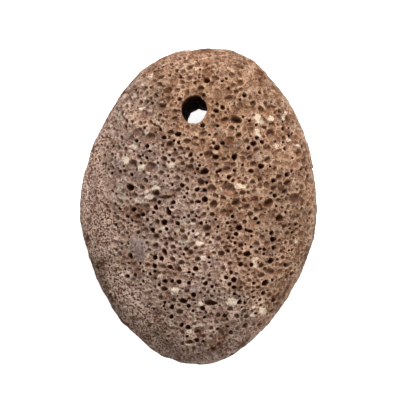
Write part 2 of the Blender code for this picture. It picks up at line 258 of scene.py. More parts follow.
# Stains and mineral spots of the upper face: the frame's column and row, long and short radius, turn,
# strength
PALE_SPOTS = (
    (133.5, 146.7, 1.3, 0.8, -8, 1.0), (129.6, 150.8, 1.2, 0.5, 0, 0.8), (125.8, 160, 1.2, 1.2, 0, 1.0),
    (130.2, 155.5, 1.0, 0.45, 80, 0.9), (141.2, 167.6, 1.4, 1.1, 20, 1.0), (147.6, 172.8, 0.8, 0.6, 0, 0.8),
    (171.6, 165, 1.1, 0.9, 50, 1.0), (108.9, 175.2, 0.7, 0.4, 0, 1.0), (164.8, 184.5, 0.9, 0.5, 0, 1.0),
    (155.2, 188, 1.6, 0.8, 12, 1.0), (146.6, 191.5, 0.9, 0.5, 20, 1.0), (149.6, 197, 1.4, 0.8, 8, 1.0),
    (180, 200.4, 1.0, 0.8, 0, 0.85), (172, 209.4, 0.8, 0.6, 0, 0.8), (163, 227.8, 0.7, 0.7, 0, 0.95),
    (150.3, 221.9, 0.5, 0.5, 0, 0.9), (239.5, 186, 2.2, 0.9, 5, 1.0), (223.5, 178.4, 0.7, 0.5, 30, 0.9),
    (258.6, 118.6, 1.9, 1.2, -38, 1.0), (270.7, 118.8, 1.0, 0.9, 0, 1.0), (285.5, 112.5, 0.9, 0.7, 60, 0.95),
    (283.8, 118, 1.0, 0.6, 80, 0.9), (256.6, 130.2, 0.8, 0.4, 0, 0.9), (288.6, 140.2, 1.0, 0.6, -10, 0.9),
    (297.9, 146.2, 0.8, 0.6, 0, 0.9), (150.6, 76.4, 1.4, 1.0, 60, 0.75), (134, 96, 1.1, 0.8, 60, 0.95),
    (125, 96, 1.1, 0.8, 30, 0.9), (142, 85, 0.9, 0.6, 10, 0.85), (142, 108.5, 1.6, 0.6, 25, 0.9),
    (145, 98, 0.5, 0.5, 0, 0.9), (129, 103, 0.7, 0.6, 0, 0.9), (111, 126, 0.8, 0.5, 40, 0.9),
    (193, 223.6, 0.9, 0.5, 0, 0.9), (183, 223.6, 0.8, 0.6, 0, 0.9), (196, 233.5, 1.1, 0.6, 0, 0.9),
    (203, 234, 0.6, 0.6, 0, 0.9), (191, 239.6, 0.8, 0.6, 0, 0.9), (199, 243, 1.4, 0.9, 0, 0.95),
    (203.6, 258, 0.9, 0.8, 60, 0.95), (254.7, 259, 1.3, 0.6, 10, 1.0), (255.2, 265.5, 0.8, 0.8, 0, 1.0),
    (160, 277, 1.0, 0.6, 0, 0.9), (122, 275.6, 0.8, 0.6, 0, 0.95), (129, 291.6, 0.9, 0.8, 0, 0.9),
    (175.7, 290, 1.3, 0.9, 0, 0.9), (184, 284.7, 0.9, 0.5, 0, 0.9), (186, 269.5, 0.7, 0.5, 0, 0.9),
    (200, 304, 0.9, 0.8, 0, 0.9), (198.7, 325.3, 2.3, 0.5, 10, 0.95), (209.4, 324.5, 0.5, 0.5, 0, 0.9),
    (190, 331, 1.2, 0.8, 0, 0.85), (194, 316, 0.8, 0.5, 0, 0.85), (232, 302.5, 1.7, 1.4, 0, 1.0),
    (254.7, 307, 0.9, 0.5, 0, 0.9), (262.4, 311, 1.5, 1.2, 80, 0.95), (252.4, 315.5, 0.8, 0.5, 0, 0.9),
    (296, 241, 1.2, 0.4, 80, 0.9), (195, 208, 0.9, 0.8, 0, 0.8), (221, 189, 0.5, 0.4, 0, 0.9),
    (276.5, 146.4, 1.2, 1.1, 0, 0.72), (257.3, 135, 1.5, 1.2, 0, 0.7), (100, 231.7, 0.6, 0.6, 0, 0.9),
)
ASHEN_SPOTS = (
    (120.5, 117, 1.9, 1.3, 80, 0.9), (122.8, 195.6, 1.4, 0.9, 0, 1.0), (120.2, 187, 1.3, 0.9, 70, 0.9),
    (121.5, 203, 1.5, 0.8, 0, 1.0), (137.6, 199.6, 1.4, 1.0, 0, 0.9), (143.6, 202.3, 0.9, 0.7, 0, 1.0),
    (128, 204.5, 1.0, 0.5, -10, 0.9), (116.5, 217, 1.0, 0.9, 0, 0.9), (183, 243.5, 1.9, 1.2, 0, 0.95),
    (185, 207, 1.1, 0.8, 0, 0.9), (112, 225, 0.6, 0.5, 0, 1.0), (153.7, 182.9, 1.4, 0.8, 0, 0.8),
)
STRAW_SPOTS = (
    (217, 275, 1.6, 0.7, 0, 1.0), (243, 277, 1.3, 1.0, 0, 1.0), (242.5, 238, 1.3, 1.0, 0, 1.0),
    (261.6, 274, 1.3, 0.8, 0, 1.0), (165.7, 202.3, 0.9, 0.6, 0, 1.0), (239, 57, 1.3, 0.8, -20, 0.9),
    (215, 65, 1.3, 0.9, 0, 0.9), (218, 105, 1.2, 1.0, 60, 0.9),
)
LILAC_SPOTS = (
    (137.5, 243, 3.0, 2.0, 0, 1.0), (140, 253, 2.2, 1.8, 90, 0.9), (138.4, 176.5, 1.6, 1.2, 30, 1.0),
    (111.3, 196.8, 1.1, 1.0, 0, 0.95), (110.2, 180.8, 1.1, 0.7, 0, 0.9), (117.5, 163, 1.6, 1.2, 0, 0.85),
    (157.2, 166.8, 1.3, 0.8, -15, 0.9), (195.6, 288.6, 1.3, 1.1, 0, 0.95), (214, 263.5, 1.3, 0.8, 0, 0.9),
    (254.7, 247.4, 1.0, 0.8, 0, 0.9), (126.5, 134.7, 1.2, 0.9, 0, 0.9), (111.7, 134, 1.0, 0.8, 0, 0.9),
    (251, 90.5, 1.6, 0.8, 10, 0.9), (257.5, 157.5, 1.6, 1.0, 0, 0.9), (219, 130.3, 1.5, 0.8, 0, 0.9),
    (278.8, 119.2, 1.0, 1.0, 0, 0.9),
)
RUST_SPOTS = (
    (208.6, 103, 2.6, 0.9, 85, 1.0), (217.5, 91.6, 1.5, 1.1, 80, 0.8), (231.7, 110.4, 0.9, 0.9, 0, 1.0),
    (223.7, 113.5, 0.9, 0.5, 0, 1.0), (94, 157, 1.5, 1.1, 70, 1.0), (87.4, 179.5, 2.2, 1.0, 85, 1.0),
    (94.7, 226, 1.8, 1.1, 80, 1.0), (103.4, 210.3, 1.9, 1.2, 0, 0.9), (177, 177.5, 0.9, 0.6, 0, 1.0),
    (223.4, 81, 1.0, 0.6, 85, 1.0), (238.5, 84, 2.2, 1.6, 30, 0.8), (264, 138, 2.2, 1.4, 70, 0.8),
    (118, 275, 1.8, 1.2, 120, 0.8), (223, 128.5, 1.8, 1.4, 10, 0.7), (86, 198.4, 2.0, 1.0, 85, 0.9),
)

# Broad lighter and darker drifts of the ground: the frame's column and row, long and short radius, turn,
# change
DRIFTS = (
    (286, 204, 10, 6, 90, -0.12), (266, 240, 9, 4, 90, -0.11), (206, 254, 6, 6, 0, 0.15),
    (180, 266, 7, 5, 0, 0.10), (84, 204, 15, 4, 90, 0.12), (286, 142, 8, 5, 90, 0.09),
    (150, 98, 6, 5, 60, -0.15), (122, 92, 4, 3, 60, 0.24), (196, 58, 6, 4, 0, 0.06), (244, 70, 6, 4, 0, 0.03),
    (206, 74, 5, 4, 0, 0.07), (262, 320, 7, 4, 45, 0.12), (196, 338, 8, 4, 0, 0.09),
    (138, 324, 6, 4, -45, 0.11), (142, 238, 9, 5, 0, -0.10), (221, 294, 7, 5, 0, -0.06),
    (107, 174, 6, 4, 90, -0.10), (180, 308, 6, 4, 0, -0.06), (198, 216, 7, 4, 0, -0.05),
    (104, 268, 5, 3, 90, -0.06), (242, 272, 5, 4, 0, 0.12), (184, 236, 5, 3, 0, 0.11),
    (236, 240, 5, 5, 0, 0.07), (228, 182, 6, 4, 0, 0.08),
)

# Each mineral: its spots, the grain, raggedness and softness of their edges, how strongly they show under the
# shading and over it, and how far round each spot loose pits stay away, in shares of its short radius
MINERALS = {
    "rust": (RUST_SPOTS, 0.5, 0.9, 0.3, 0.7, 0.0, None),
    "lilac": (LILAC_SPOTS, 0.7, 0.9, 0.2, 0.85, 0.34, 1.1),
    "straw": (STRAW_SPOTS, 0.8, 0.8, 0.15, 0.8, 0.0, None),
    "ashen": (ASHEN_SPOTS, 1.2, 0.9, 0.08, 0.75, 0.3, None),
    "pale": (PALE_SPOTS, 1.1, 0.9, 0.07, 0.9, 0.4, 0.75),
}

# The ground's warmth: greyish 0 on the left of a slanting line, orange 1 on its right, and amber 2 round the
# hole
WARM_LINE = (0.48, 2.5, 11.0)  # its lean from the length, its place, and half the width of the change
AMBER_PATCH = (7.0, 30.0, 14.0, 12.0, 0.9)  # x, y, the patch's two radii and its strength

# Low lumps of the skin: wavelengths, what evens their sum out, and how far the skin is drawn in on the whole
LUMP_WAVES = (17.0, 13.0, 10.0, 8.0, 6.5, 5.2, 4.2, 3.4, 2.8, 2.2)
LUMP_SUM = 34
LUMP_DRAWN_IN = 0.06

# How closely the skin is sampled: distance between neighbouring points of a rim, and on open ground
RIM_STEP = 0.38
GROUND_STEP = 1.15
GROUND_TRIES = 46000
UNDERSIDE_COARSER = 1.8
UNDERSIDE_DROPPED = 0.45
LEAST_CELL = 0.11
LEAST_GAP = 0.085
RING_SHARES = {  # where each size of pit is sampled, from its rim (1) to its middle (0)
    "bold": (1.0, 0.90, 0.68, 0.34, 0.0),
    "large": (1.0, 0.84, 0.50, 0.0),
    "middling": (1.0, 0.66, 0.0),
    "small": (1.0, 0.0),
    "underside": (1.0, 0.66, 0.0),
}
MOUTH_POINTS = 84
MOUTH_HEIGHT = 12.5  # where the rings of a mouth start on their slide to the surface
COLLAR_RINGS = ((0.22, 72), (0.6, 56))  # how far out from a mouth each ring lies, and its points
COLLAR_WIDTH = 0.8
LIP_ROUNDING = 0.42
BORE_ROWS = 22
BORE_BUBBLES = 90
POLE_POINTS = 24
POLE_SHARE = 0.07
MOST_TRIANGLES = 200000

# The soft lights: place from the stone's middle, side and share of the main light's power
SOFTBOXES = {
    "key_light": ((0.08, 0.61, 0.65), 0.20, 1.0),
    "fill_light": ((0.46, -0.50, 0.34), 0.5, 0.24),
    "right_light": ((0.75, 0.10, 0.10), 0.3, 0.20),
    "left_light": ((-0.72, 0.25, 0.09), 0.3, 0.24),
}
SENSOR = 36.0
FLOOR_SIZE = 4.0
WHITE = (1.0, 1.0, 1.0, 1.0)


# ---------------------------------------------------------------- the body's surface


def unit(vectors):
    """Vectors of length 1 with the same directions."""
    return vectors / np.linalg.norm(vectors, axis=-1, keepdims=True)


def smooth_step(low, high, value):
    """0 below low, 1 above high, and 3t^2 - 2t^3 between."""
    t = np.clip((value - low) / (high - low), 0, 1)
    return t * t * (3 - 2 * t)


def outline_radius(angle):
    """Outline radius towards each angle: the sum of the cosine waves that meets every entry of OUTLINE."""
    waves = np.fft.rfft(OUTLINE) / len(OUTLINE)
    order = np.arange(len(waves))
    twice = np.where((order == 0) | (order == len(OUTLINE) // 2), 1.0, 2.0)
    return (twice * waves * np.exp(1j * np.multiply.outer(angle, order))).real.sum(axis=-1)


def rounded_radius(direction, swell):
    """(across / outline)^n + (|rise| / height)^n = 1, solved for the distance along each unit direction."""
    x, y, z = direction.T
    across = np.hypot(x, y) / outline_radius(np.arctan2(y, x))
    rise = np.abs(z) / (np.where(z > 0, CROWN, BELLY) + swell)
    return (across**FULLNESS + rise**FULLNESS) ** (-1 / FULLNESS)


def swell_at(points):
    """The sum of SWELLS, each a sine wave over X and Y."""
    heights = [
        high * np.sin(2 * np.pi * (points[:, 0] / wide + points[:, 1] / long) + phase)
        for high, wide, long, phase in SWELLS
    ]
    return np.sum(heights, axis=0)


def soft_minimum(a, b, blend):
    """The lesser of a and b, rounded over a stretch of blend where they cross."""
    near = np.maximum(blend - np.abs(a - b), 0) / blend
    return np.minimum(a, b) - near**2 * blend / 4


def body_radius(direction):
    """Distance from the body's centre to its surface along each unit direction."""
    plain = rounded_radius(direction, 0.0)
    radius = rounded_radius(direction, swell_at(direction * plain[:, None]))
    for facing, distance in FACETS:
        towards = np.maximum(direction @ unit(facing), 0.05)
        radius = soft_minimum(radius, distance / towards, FACET_BLEND)
    downwards = np.maximum(-direction[:, 2], 1e-6)
    return np.minimum(radius, FOOT / downwards)


def level(points):
    """|p| / body_radius(p): 1 on the surface, less inside the body and more outside it."""
    distance = np.linalg.norm(points, axis=1)
    return distance / body_radius(points / distance[:, None])


def on_surface(points):
    """Each point moved along its line from the body's centre onto the surface."""
    return points / level(points)[:, None]


def slid_to_surface(points, along, rounds=4, step=0.02):
    """Each point moved along its own line until its level is 1, by Newton's method."""
    for _ in range(rounds):
        here = level(points)
        ahead = level(points + along * step)
        points = points - along * ((here - 1) * step / (ahead - here))[:, None]
    return points


def surface_normals(points, step=0.05):
    """Outward unit normals: the slope of level at each point, by central differences."""
    return unit(np.stack([level(points + axis) - level(points - axis) for axis in np.eye(3) * step], axis=1))


def on_upper_face(x, y):
    """The point of the upper face above (x, y)."""
    across = math.hypot(x, y) / outline_radius(np.array([math.atan2(y, x)]))[0]
    rise = CROWN * (1 - across**FULLNESS) ** (1 / FULLNESS)
    return on_surface(np.array([[x, y, rise]]))[0]


def scattered_points(count, rng):
    """Random points spread evenly over the body's area: points of a ball, kept in proportion to how much
    the ball's area grows there when it is stretched to the body's size, and then moved onto the surface."""
    size = np.array([OUTLINE.mean(), OUTLINE.mean(), 0.5 * (CROWN + BELLY)])
    ball = unit(rng.normal(size=(count * 3, 3)))
    growth = np.linalg.norm(ball / size, axis=1) * size[2]
    ball = ball[rng.random(len(ball)) < growth][:count]
    return on_surface(ball * size)


# ---------------------------------------------------------------- the camera's view


def camera_view(studio):
    """The camera's right, up and backward axes, the point that it looks at, and what one pixel of its
    frame spans there, all in millimetres about the body's centre."""
    back = unit((math.tan(studio.lean), -math.tan(studio.tilt), 1.0))
    up = unit((0.0, 1.0, 0.0) - back * back[1])
    right = np.cross(up, back)
    pixel = studio.frame_width / MM / FRAME_PIXELS
    return right, up, back, (right * AIM_SHIFT[0] + up * AIM_SHIFT[1]) * pixel, pixel


def seen_on_surface(spots, studio):
    """The points of the surface that the camera sees at (column, row) spots of its frame: each spot's line
    of sight, followed from above the crown down to the surface."""
    right, up, back, aim, pixel = camera_view(studio)
    column, row = (np.array(spots, float) - FRAME_PIXELS / 2).T * pixel
    middle = aim + np.outer(column, right) - np.outer(row, up)
    along = unit(aim + back * studio.distance / MM - middle)
    return slid_to_surface(middle + along * CROWN, along, rounds=10)


def ovals(points, rows, studio):
    """How far each point lies from the middle of each row's oval, in shares of the way to its edge, with
    the row's last value. The ovals lie flat over the upper face."""
    middles = seen_on_surface([row[:2] for row in rows], studio)
    for middle, (*_, long, short, turn, value) in zip(middles, rows):
        c, s = math.cos(math.radians(turn)), math.sin(math.radians(turn))
        dx, dy = points[:, 0] - middle[0], points[:, 1] - middle[1]
        yield np.hypot((dx * c + dy * s) / long, (dy * c - dx * s) / short), value


def spots(points, rows, studio):
    """Ramps of soft-edged spots on the upper face: 1 at a spot's middle, one half at its edge, and 0 at
    twice its reach, times its strength. Where spots overlap, the stronger one counts."""
    each = [strength * np.clip(1 - 0.5 * reach, 0, 1) for reach, strength in ovals(points, rows, studio)]
    return np.max(each, axis=0) * smooth_step(-3, 0, points[:, 2])


def drift(points, studio):
    """How much lighter or darker the ground is than usual: the sum of a bell curve for each of DRIFTS."""
    each = [change * np.exp(-(reach**2)) for reach, change in ovals(points, DRIFTS, studio)]
    return np.sum(each, axis=0) * smooth_step(-6, 0, points[:, 2])


# ---------------------------------------------------------------- pits


def pit_set(middle, long, short, depth, turn, floor, shade, waver, seed):
    """A set of pits with what every later step needs: the long and short axes of each rim, turned about
    the surface normal, and the strength and phase of the three waves that make each rim waver."""
    rng = np.random.default_rng(seed)
    normal = surface_normals(middle)
    sideways = unit(np.cross((0.0, 1.0, 0.0), normal))
    along = np.cos(turn)[:, None] * sideways + np.sin(turn)[:, None] * np.cross(normal, sideways)
    return SimpleNamespace(
        middle=middle, normal=normal, along=along, across=np.cross(normal, along),
        long=long, short=short, depth=depth, floor=floor, shade=shade,
        waver=waver[:, None] * rng.uniform(0.3, 1.0, (len(middle), 3)),
        phase=rng.uniform(0, 2 * np.pi, (len(middle), 3)),
    )


def joined(sets):
    """Several pit sets as one."""
    keys = vars(sets[0])
    return SimpleNamespace(**{key: np.concatenate([getattr(one, key) for one in sets]) for key in keys})


def some(pits, chosen):
    """The chosen pits of a set."""
    return SimpleNamespace(**{key: value[chosen] for key, value in vars(pits).items()})


def search_tree(points):
    """A tree that finds points by place."""
    tree = KDTree(len(points))
    for number, point in enumerate(points.tolist()):
        tree.insert(point, number)
    tree.balance()
    return tree


def rim_waver(pits, which, angle):
    """How far each rim stands out or in towards an angle: waves of 2, 3 and 5 to the turn."""
    waves = np.cos(angle[:, None] * np.array([2, 3, 5]) + pits.phase[which])
    return 1 + (pits.waver[which] * waves).sum(axis=1)


def pit_ring(pits, share, step, least):
    """Points round every pit at a share of the way from its middle to its rim, laid on the surface."""
    girth = np.pi * (pits.long + pits.short) * share
    count = np.maximum(np.round(girth / step), least).astype(int)
    which = np.repeat(np.arange(len(count)), count)
    place = np.arange(len(which)) - np.repeat(np.cumsum(count) - count, count)
    angle = 2 * np.pi * (place + 3.7 * share) / count[which]
    reach = share * rim_waver(pits, which, angle)
    points = (
        pits.middle[which]
        + pits.along[which] * (pits.long[which] * reach * np.cos(angle))[:, None]
        + pits.across[which] * (pits.short[which] * reach * np.sin(angle))[:, None]
    )
    return which, slid_to_surface(points, pits.normal[which], rounds=2)


def pit_reach(pits, which, points):
    """How far each point lies from a pit's middle, as a share of the way to its wavering rim."""
    offset = points - pits.middle[which]
    along = (offset * pits.along[which]).sum(axis=1) / pits.long[which]
    across = (offset * pits.across[which]).sum(axis=1) / pits.short[which]
    return np.hypot(along, across) / rim_waver(pits, which, np.arctan2(across, along))


def pits_near(pits, points, margin=1.3):
    """Every pair of a pit and a point within margin times its long radius, as two index arrays."""
    tree = search_tree(points)
    found = [
        [hit[1] for hit in tree.find_range(middle, reach)]
        for middle, reach in zip(pits.middle.tolist(), (pits.long * margin).tolist())
    ]
    which = np.repeat(np.arange(len(found)), [len(hits) for hits in found])
    return which, np.array([number for hits in found for number in hits])


def hollowed(pits, points):
    """How pits shape each point, and the painted shade and rim highlight that they give it. A pit falls from
    its rim by depth times (1 - reach^n)^(1/n), and where pits overlap the deepest one counts. Returns fall,
    the painted shade of the pits' insides, rim closeness for the painted highlight on rims, and the pit that
    won, or -1."""
    which, near = pits_near(pits, points)
    reach = pit_reach(pits, which, points[near])
    floor = pits.floor[which]
    share = np.maximum(1 - reach**floor, 0) ** (1 / floor)
    fall, shade, rim = np.zeros((3, len(points)))
    np.maximum.at(fall, near, share * pits.depth[which])
    np.maximum.at(shade, near, share * pits.shade[which])
    np.maximum.at(rim, near, np.exp(-(((reach - 1) / 0.14) ** 2)) * pits.shade[which])
    winner = np.full(len(points), -1)
    best = (share > 0) & (share * pits.depth[which] >= fall[near] - 1e-9)
    winner[near[best]] = which[best]
    return fall, shade, rim, winner


def solid_pits(studio):
    """The bold pits that the solid has too, from the same named values and the same seed."""
    rng = np.random.default_rng(LOOSE_SEED)
    scale = np.array([OUTLINE.mean(), OUTLINE.mean(), LOOSE_SPREAD])
    seen = seen_on_surface([pit[:2] for pit in FACE_PITS], studio)
    rows = [(middle, *pit[2:5], math.radians(pit[5])) for middle, pit in zip(seen, FACE_PITS)]
    while len(rows) < len(FACE_PITS) + LOOSE_PITS:
        point = on_surface((rng.normal(size=3) * scale)[None, :])[0]
        long = rng.uniform(*LOOSE_RADIUS)
        short = long * rng.uniform(*LOOSE_STRETCH)
        depth = long * rng.uniform(*LOOSE_DEPTH)
        turn = rng.uniform(0, math.pi)
        over_foot = point[2] < -0.9 * FOOT and math.hypot(point[0], point[1]) < FOOT_CLEAR
        by_hole = math.hypot(point[0] - HOLE[0], point[1] - HOLE[1]) < HOLE_CLEAR
        crowded = any(np.linalg.norm(point - row[0]) < long + row[1] + LOOSE_SPACING for row in rows)
        if not (over_foot or by_hole or crowded):
            rows.append((point, long, short, depth, turn))
    middle, long, short, depth, turn = (np.array(column) for column in zip(*rows))
    # painted shade inside each bold pit, darker the deeper it is
    shade = np.clip(0.45 + 0.35 * depth / long, 0, 1)
    worn = np.where((np.arange(len(rows)) >= len(FACE_PITS)) & (middle[:, 2] > 0), LOOSE_WEAR, 1.0)
    floor, waver = np.full(len(rows), 2.4), np.full(len(rows), 0.07)
    return pit_set(middle, long, short, depth * worn, turn, floor, shade * worn**2, waver, 1)


def seen_pits(studio):
    """The pits that are placed one by one, as (pits, kind) pairs for sampling: the wide and the narrow
    ones."""
    rng = np.random.default_rng(31)
    rows = [
        (spot, long, long * rng.uniform(0.78, 1.0), rng.uniform(0, 180), kind)
        for kind, long, places in SEEN_PITS for spot in places
    ]
    rows += [(row[:2], *row[2:]) for row in SEEN_LONG_PITS]
    seen, long, short, turn, kinds = zip(*rows)
    middle = seen_on_surface(seen, studio)
    long, short = SEEN_RIM * np.array(long), SEEN_RIM * np.array(short)
    depth, shade = np.array([SEEN_KINDS[kind] for kind in kinds]).T
    floor = rng.uniform(2.0, 2.8, len(rows))
    waver = np.full(len(rows), 0.06)
    pits = pit_set(middle, long, short, depth * short, np.radians(turn), floor, shade, waver, 32)
    wide = long >= WIDE_PIT
    return [(some(pits, wide), "large"), (some(pits, ~wide), "middling")]


def fine_ground(points):
    """1 where the lava is fine-pored: a band down the left flank that runs out to the foot end."""
    x, y, z = points.T
    edge = -26.5 + 0.54 * np.logaddexp(0, (-10 - y) / 3) * 3
    ripple = 1.6 * np.sin(y / 5.1 + z / 4.0) + 1.1 * np.sin(y / 2.3 + 1.3 + x / 3.1)
    return smooth_step(2.5, -2.5, x - edge - ripple) * smooth_step(26, 18, y)


def warmth(points):
    """How warm the ground is: a smooth step across the slanting line, and a bell curve round the hole."""
    x, y, _ = points.T
    lean, line, width = WARM_LINE
    patch_x, patch_y, wide, long, strength = AMBER_PATCH
    patch = strength * np.exp(-(((x - patch_x) / wide) ** 2) - ((y - patch_y) / long) ** 2)
    return smooth_step(line - width, line + width, x + lean * y) + patch


def rim_lit_flank(points, normals):
    """1 on the smooth flank down the stone's right side, from the hole's end to the foot end, and somewhat
    less down its left side, short of the foot end, where the steep flank is painted pale: painted rim light."""
    x, y, _ = points.T
    right = smooth_step(0.60, 0.25, normals[:, 2]) * smooth_step(-6, 12, x + 0.25 * np.abs(y))
    left = smooth_step(0.70, 0.30, normals[:, 2]) * smooth_step(-6, -22, x) * smooth_step(-22, -4, y)
    return right + 0.75 * left


def pore_size(points):
    """Typical pit radius: coarse over the middle and right, smaller towards both ends and the far left,
    with slow waves in it."""
    x, y, _ = points.T
    ends = 0.20 * smooth_step(-18, -38, y) + 0.06 * smooth_step(22, 40, y)
    plain = 0.80 - ends - 0.10 * smooth_step(-8, -22, x)
    return plain + 0.08 * np.sin(x / 6.3 + 1.0) * np.sin(y / 7.9 + 0.4) + 0.05 * np.sin(x / 2.9 + y / 3.7)


def scattered_pits(most, radius, gap, upper, in_fine, seed, taken):
    """Random pits of the upper face or the underside, each tried in turn and kept where its rim clears the
    rims that are already there by its own gap. radius and gap are ranges in shares of the pore size and of
    the pit's own radius, and in_fine is the share of the tries that stay on fine ground. taken lists the
    (middles, radii) of earlier pits, and the new ones are added to it."""
    rng = np.random.default_rng(seed)
    points = scattered_points(most * 40, rng)
    points = points[(points[:, 2] > UPPER_FROM) == upper]
    points = points[rng.random(len(points)) > (1 - in_fine) * fine_ground(points)]
    sizes = pore_size(points) * rng.uniform(*radius, len(points))
    gaps = rng.uniform(*gap, len(points)) * sizes
    by_hole = np.hypot(points[:, 0] - HOLE[0], points[:, 1] - HOLE[1]) < HOLE_RADIUS + 0.75 * sizes
    over_foot = (points[:, 2] < -0.97 * FOOT) & (np.hypot(points[:, 0], points[:, 1]) < 5)
    middles, radii = (np.concatenate(one) for one in zip(*taken))
    first = filled = len(radii)
    middles = np.concatenate([middles, np.full((most, 3), np.inf)])
    radii = np.concatenate([radii, np.zeros(most)])
    for number in np.flatnonzero(~(by_hole | over_foot)):
        if filled == len(middles):
            break
        distance = np.sqrt(((middles[:filled] - points[number]) ** 2).sum(axis=1))
        if (distance > radii[:filled] + sizes[number] + gaps[number]).all():
            middles[filled], radii[filled] = points[number], sizes[number]
            filled += 1
    taken.append((middles[first:filled], radii[first:filled]))
    return taken[-1]


def shaped_pits(middle, radius, depth, deep_share, seed):
    """Pits of random shape. depth is a range in shares of the radius. Some are worn shallow, and some go
    deep, fewer of them on the crown, where the deep ones are placed one by one."""
    rng = np.random.default_rng(seed)
    count = len(middle)
    deep = rng.random(count) < deep_share * (1 - 0.75 * smooth_step(3, 9, middle[:, 2]))
    worn = ~deep & (rng.random(count) < WORN_SHARE)
    share = np.where(deep, rng.uniform(*DEEP_DEPTH, count), rng.uniform(*depth, count))
    share = share * np.where(worn, 0.5, 1.0)
    stretch = rng.uniform(0.74, 1.0, count)
    # painted shade inside each pit: full in the deep ones, more in the deeper ones
    shade = np.where(deep, 1.0, np.clip(0.08 + 0.50 * share, 0, 0.80))
    return pit_set(
        middle, radius / np.sqrt(stretch), radius * np.sqrt(stretch), radius * share,
        rng.uniform(0, np.pi, count), rng.uniform(1.6, 2.5, count), shade, np.full(count, 0.07), seed,
    )


def cord_wear():
    """The shallow hollow that a cord has worn beside the hole, as a set of one pit."""
    x, y, long, short, depth, turn = CORD_WEAR
    values = long, short, depth, math.radians(turn), 2.0, 0.1, 0.05
    return pit_set(on_upper_face(x, y)[None, :], *(np.array([value]) for value in values), 3)


def natural_pits(settings, studio):
    """Every pit of the stone as one set, with each one's kind for sampling: the solid's bold ones, those
    placed one by one, and smaller and smaller ones that fill the ground between them, clear of some
    minerals' spots."""
    sets = [(solid_pits(studio), "bold"), *seen_pits(studio)]
    taken = [(pits.middle, np.sqrt(pits.long * pits.short)) for pits, _ in sets]
    for rows, *_, clear in (MINERALS["pale"], MINERALS["lilac"]):
        middles = seen_on_surface([row[:2] for row in rows], studio)
        taken.append((middles, clear * np.array([row[3] for row in rows])))
    for number, (kind, radius, gap, upper, in_fine, depth, deep) in enumerate(FILLING_PITS):
        most, seed = getattr(settings, f"{kind}_pits"), settings.seed + number
        places = scattered_pits(most, radius, gap, upper, in_fine, seed, taken)
        sets.append((shaped_pits(*places, depth, deep * settings.deep_share, 20 + number), kind))
    sets.append((cord_wear(), "bold"))
    kinds = np.concatenate([np.full(len(pits.long), kind) for pits, kind in sets])
    return joined([pits for pits, _ in sets]), kinds


# ---------------------------------------------------------------- the skin


def chart_table():
    """The flat chart's stretch for each tilt of the mean profile: the integral of profile length over
    distance from the axis, which keeps small shapes true, as Mercator's map does."""
    towards_pole = np.exp(np.linspace(math.log(1e-4), math.log(math.pi / 2), 500))
    tilt = np.concatenate([-math.pi / 2 + towards_pole, (math.pi / 2 - towards_pole)[::-1][1:]])
    norm = (np.cos(tilt) ** FULLNESS + np.abs(np.sin(tilt)) ** FULLNESS) ** (1 / FULLNESS)
    out = OUTLINE.mean() * np.cos(tilt) / norm
    up = np.where(tilt > 0, CROWN, BELLY) * np.sin(tilt) / norm
    middle = 0.5 * (out[1:] + out[:-1])
    growth = np.hypot(np.diff(out), np.diff(up)) / middle
    stretch = np.concatenate([[0], -np.cumsum(growth)])
    return tilt, stretch - np.interp(0, tilt, stretch)


CHART_TILT, CHART_STRETCH = chart_table()


def body_share(points):
    """Angle round the axis, share of the way out to the outline there, and tilt above the widest line."""
    x, y, z = points.T
    angle = np.arctan2(y, x)
    across = np.hypot(x, y) / outline_radius(angle)
    rise = z / np.where(z > 0, CROWN, BELLY)
    return angle, across, np.arctan2(rise, across)


def charted(points):
    """Each surface point's place on the flat chart: the crown at its middle and the foot outside all the
    rest."""
    angle, _, tilt = body_share(points)
    reach = np.exp(np.interp(tilt, CHART_TILT, CHART_STRETCH))
    return np.stack([reach * np.cos(angle), reach * np.sin(angle)], axis=1)


def mouth_chips(angle, side, down=0.0):
    """How far the hole's edge is broken back towards each angle, at a depth below the mouth: each chip is
    a bell curve across its width and fades down the bore."""
    total = 0.0
    for chip_side, turn, width, reach, fade in MOUTH_CHIPS:
        away = np.angle(np.exp(1j * (angle - math.radians(turn)))) / math.radians(width)
        total = total + (side == chip_side) * reach * np.exp(-(away**2) - down / fade)
    return total


def mouth_radius(angle, side):
    """Radius of a mouth of the drilled hole: its drill's, with a wavering edge and its chips."""
    waver = np.sin(5 * angle + side) + np.sin(9 * angle + 2.1 * side) + np.sin(17 * angle + side)
    return HOLE_RADIUS + 0.05 + 0.05 * waver + mouth_chips(angle, side)


def turns(count):
    """Evenly spaced angles round the turn."""
    return 2 * np.pi * np.arange(count) / count


def mouth_ring(side, out, count):
    """A ring of points round the hole's upper (side 1) or lower (side -1) mouth, out beyond its edge."""
    angle = turns(count)
    radius = mouth_radius(angle, side) + out
    height = np.full(count, MOUTH_HEIGHT * side)
    start = np.column_stack([HOLE[0] + radius * np.cos(angle), HOLE[1] + radius * np.sin(angle), height])
    upright = np.tile((0.0, 0.0, float(side)), (count, 1))
    return slid_to_surface(start, upright, rounds=6)


def pole_ring():
    """The ring of points round the middle of the foot."""
    angle = turns(POLE_POINTS)
    out = POLE_SHARE * outline_radius(angle)
    return np.column_stack([out * np.cos(angle), out * np.sin(angle), np.full(POLE_POINTS, -FOOT)])


def from_hole(points):
    """Distance of each point from the hole's axis, less the mouth's radius there."""
    x, y = points[:, 0] - HOLE[0], points[:, 1] - HOLE[1]
    side = np.where(points[:, 2] > 0, 1, -1)
    return np.hypot(x, y) - mouth_radius(np.arctan2(y, x), side)


def relief(points, amount):
    """Low lumps inwards and outwards from the body's surface: slow sine waves in random directions, faded
    out on the foot so that it stays flat."""
    rng = np.random.default_rng(77)
    height = np.zeros(len(points))
    for length in LUMP_WAVES:
        way = unit(rng.normal(size=(2, 3)))
        phase = rng.uniform(0, 2 * np.pi, 2)
        waves = np.sin(2 * np.pi * points @ way.T / length + phase)
        height += length * waves.prod(axis=1)
    height = np.clip(height / LUMP_SUM, -1, 1)
    return amount * (0.5 * height - LUMP_DRAWN_IN) * smooth_step(-FOOT, -FOOT + 2.5, points[:, 2])


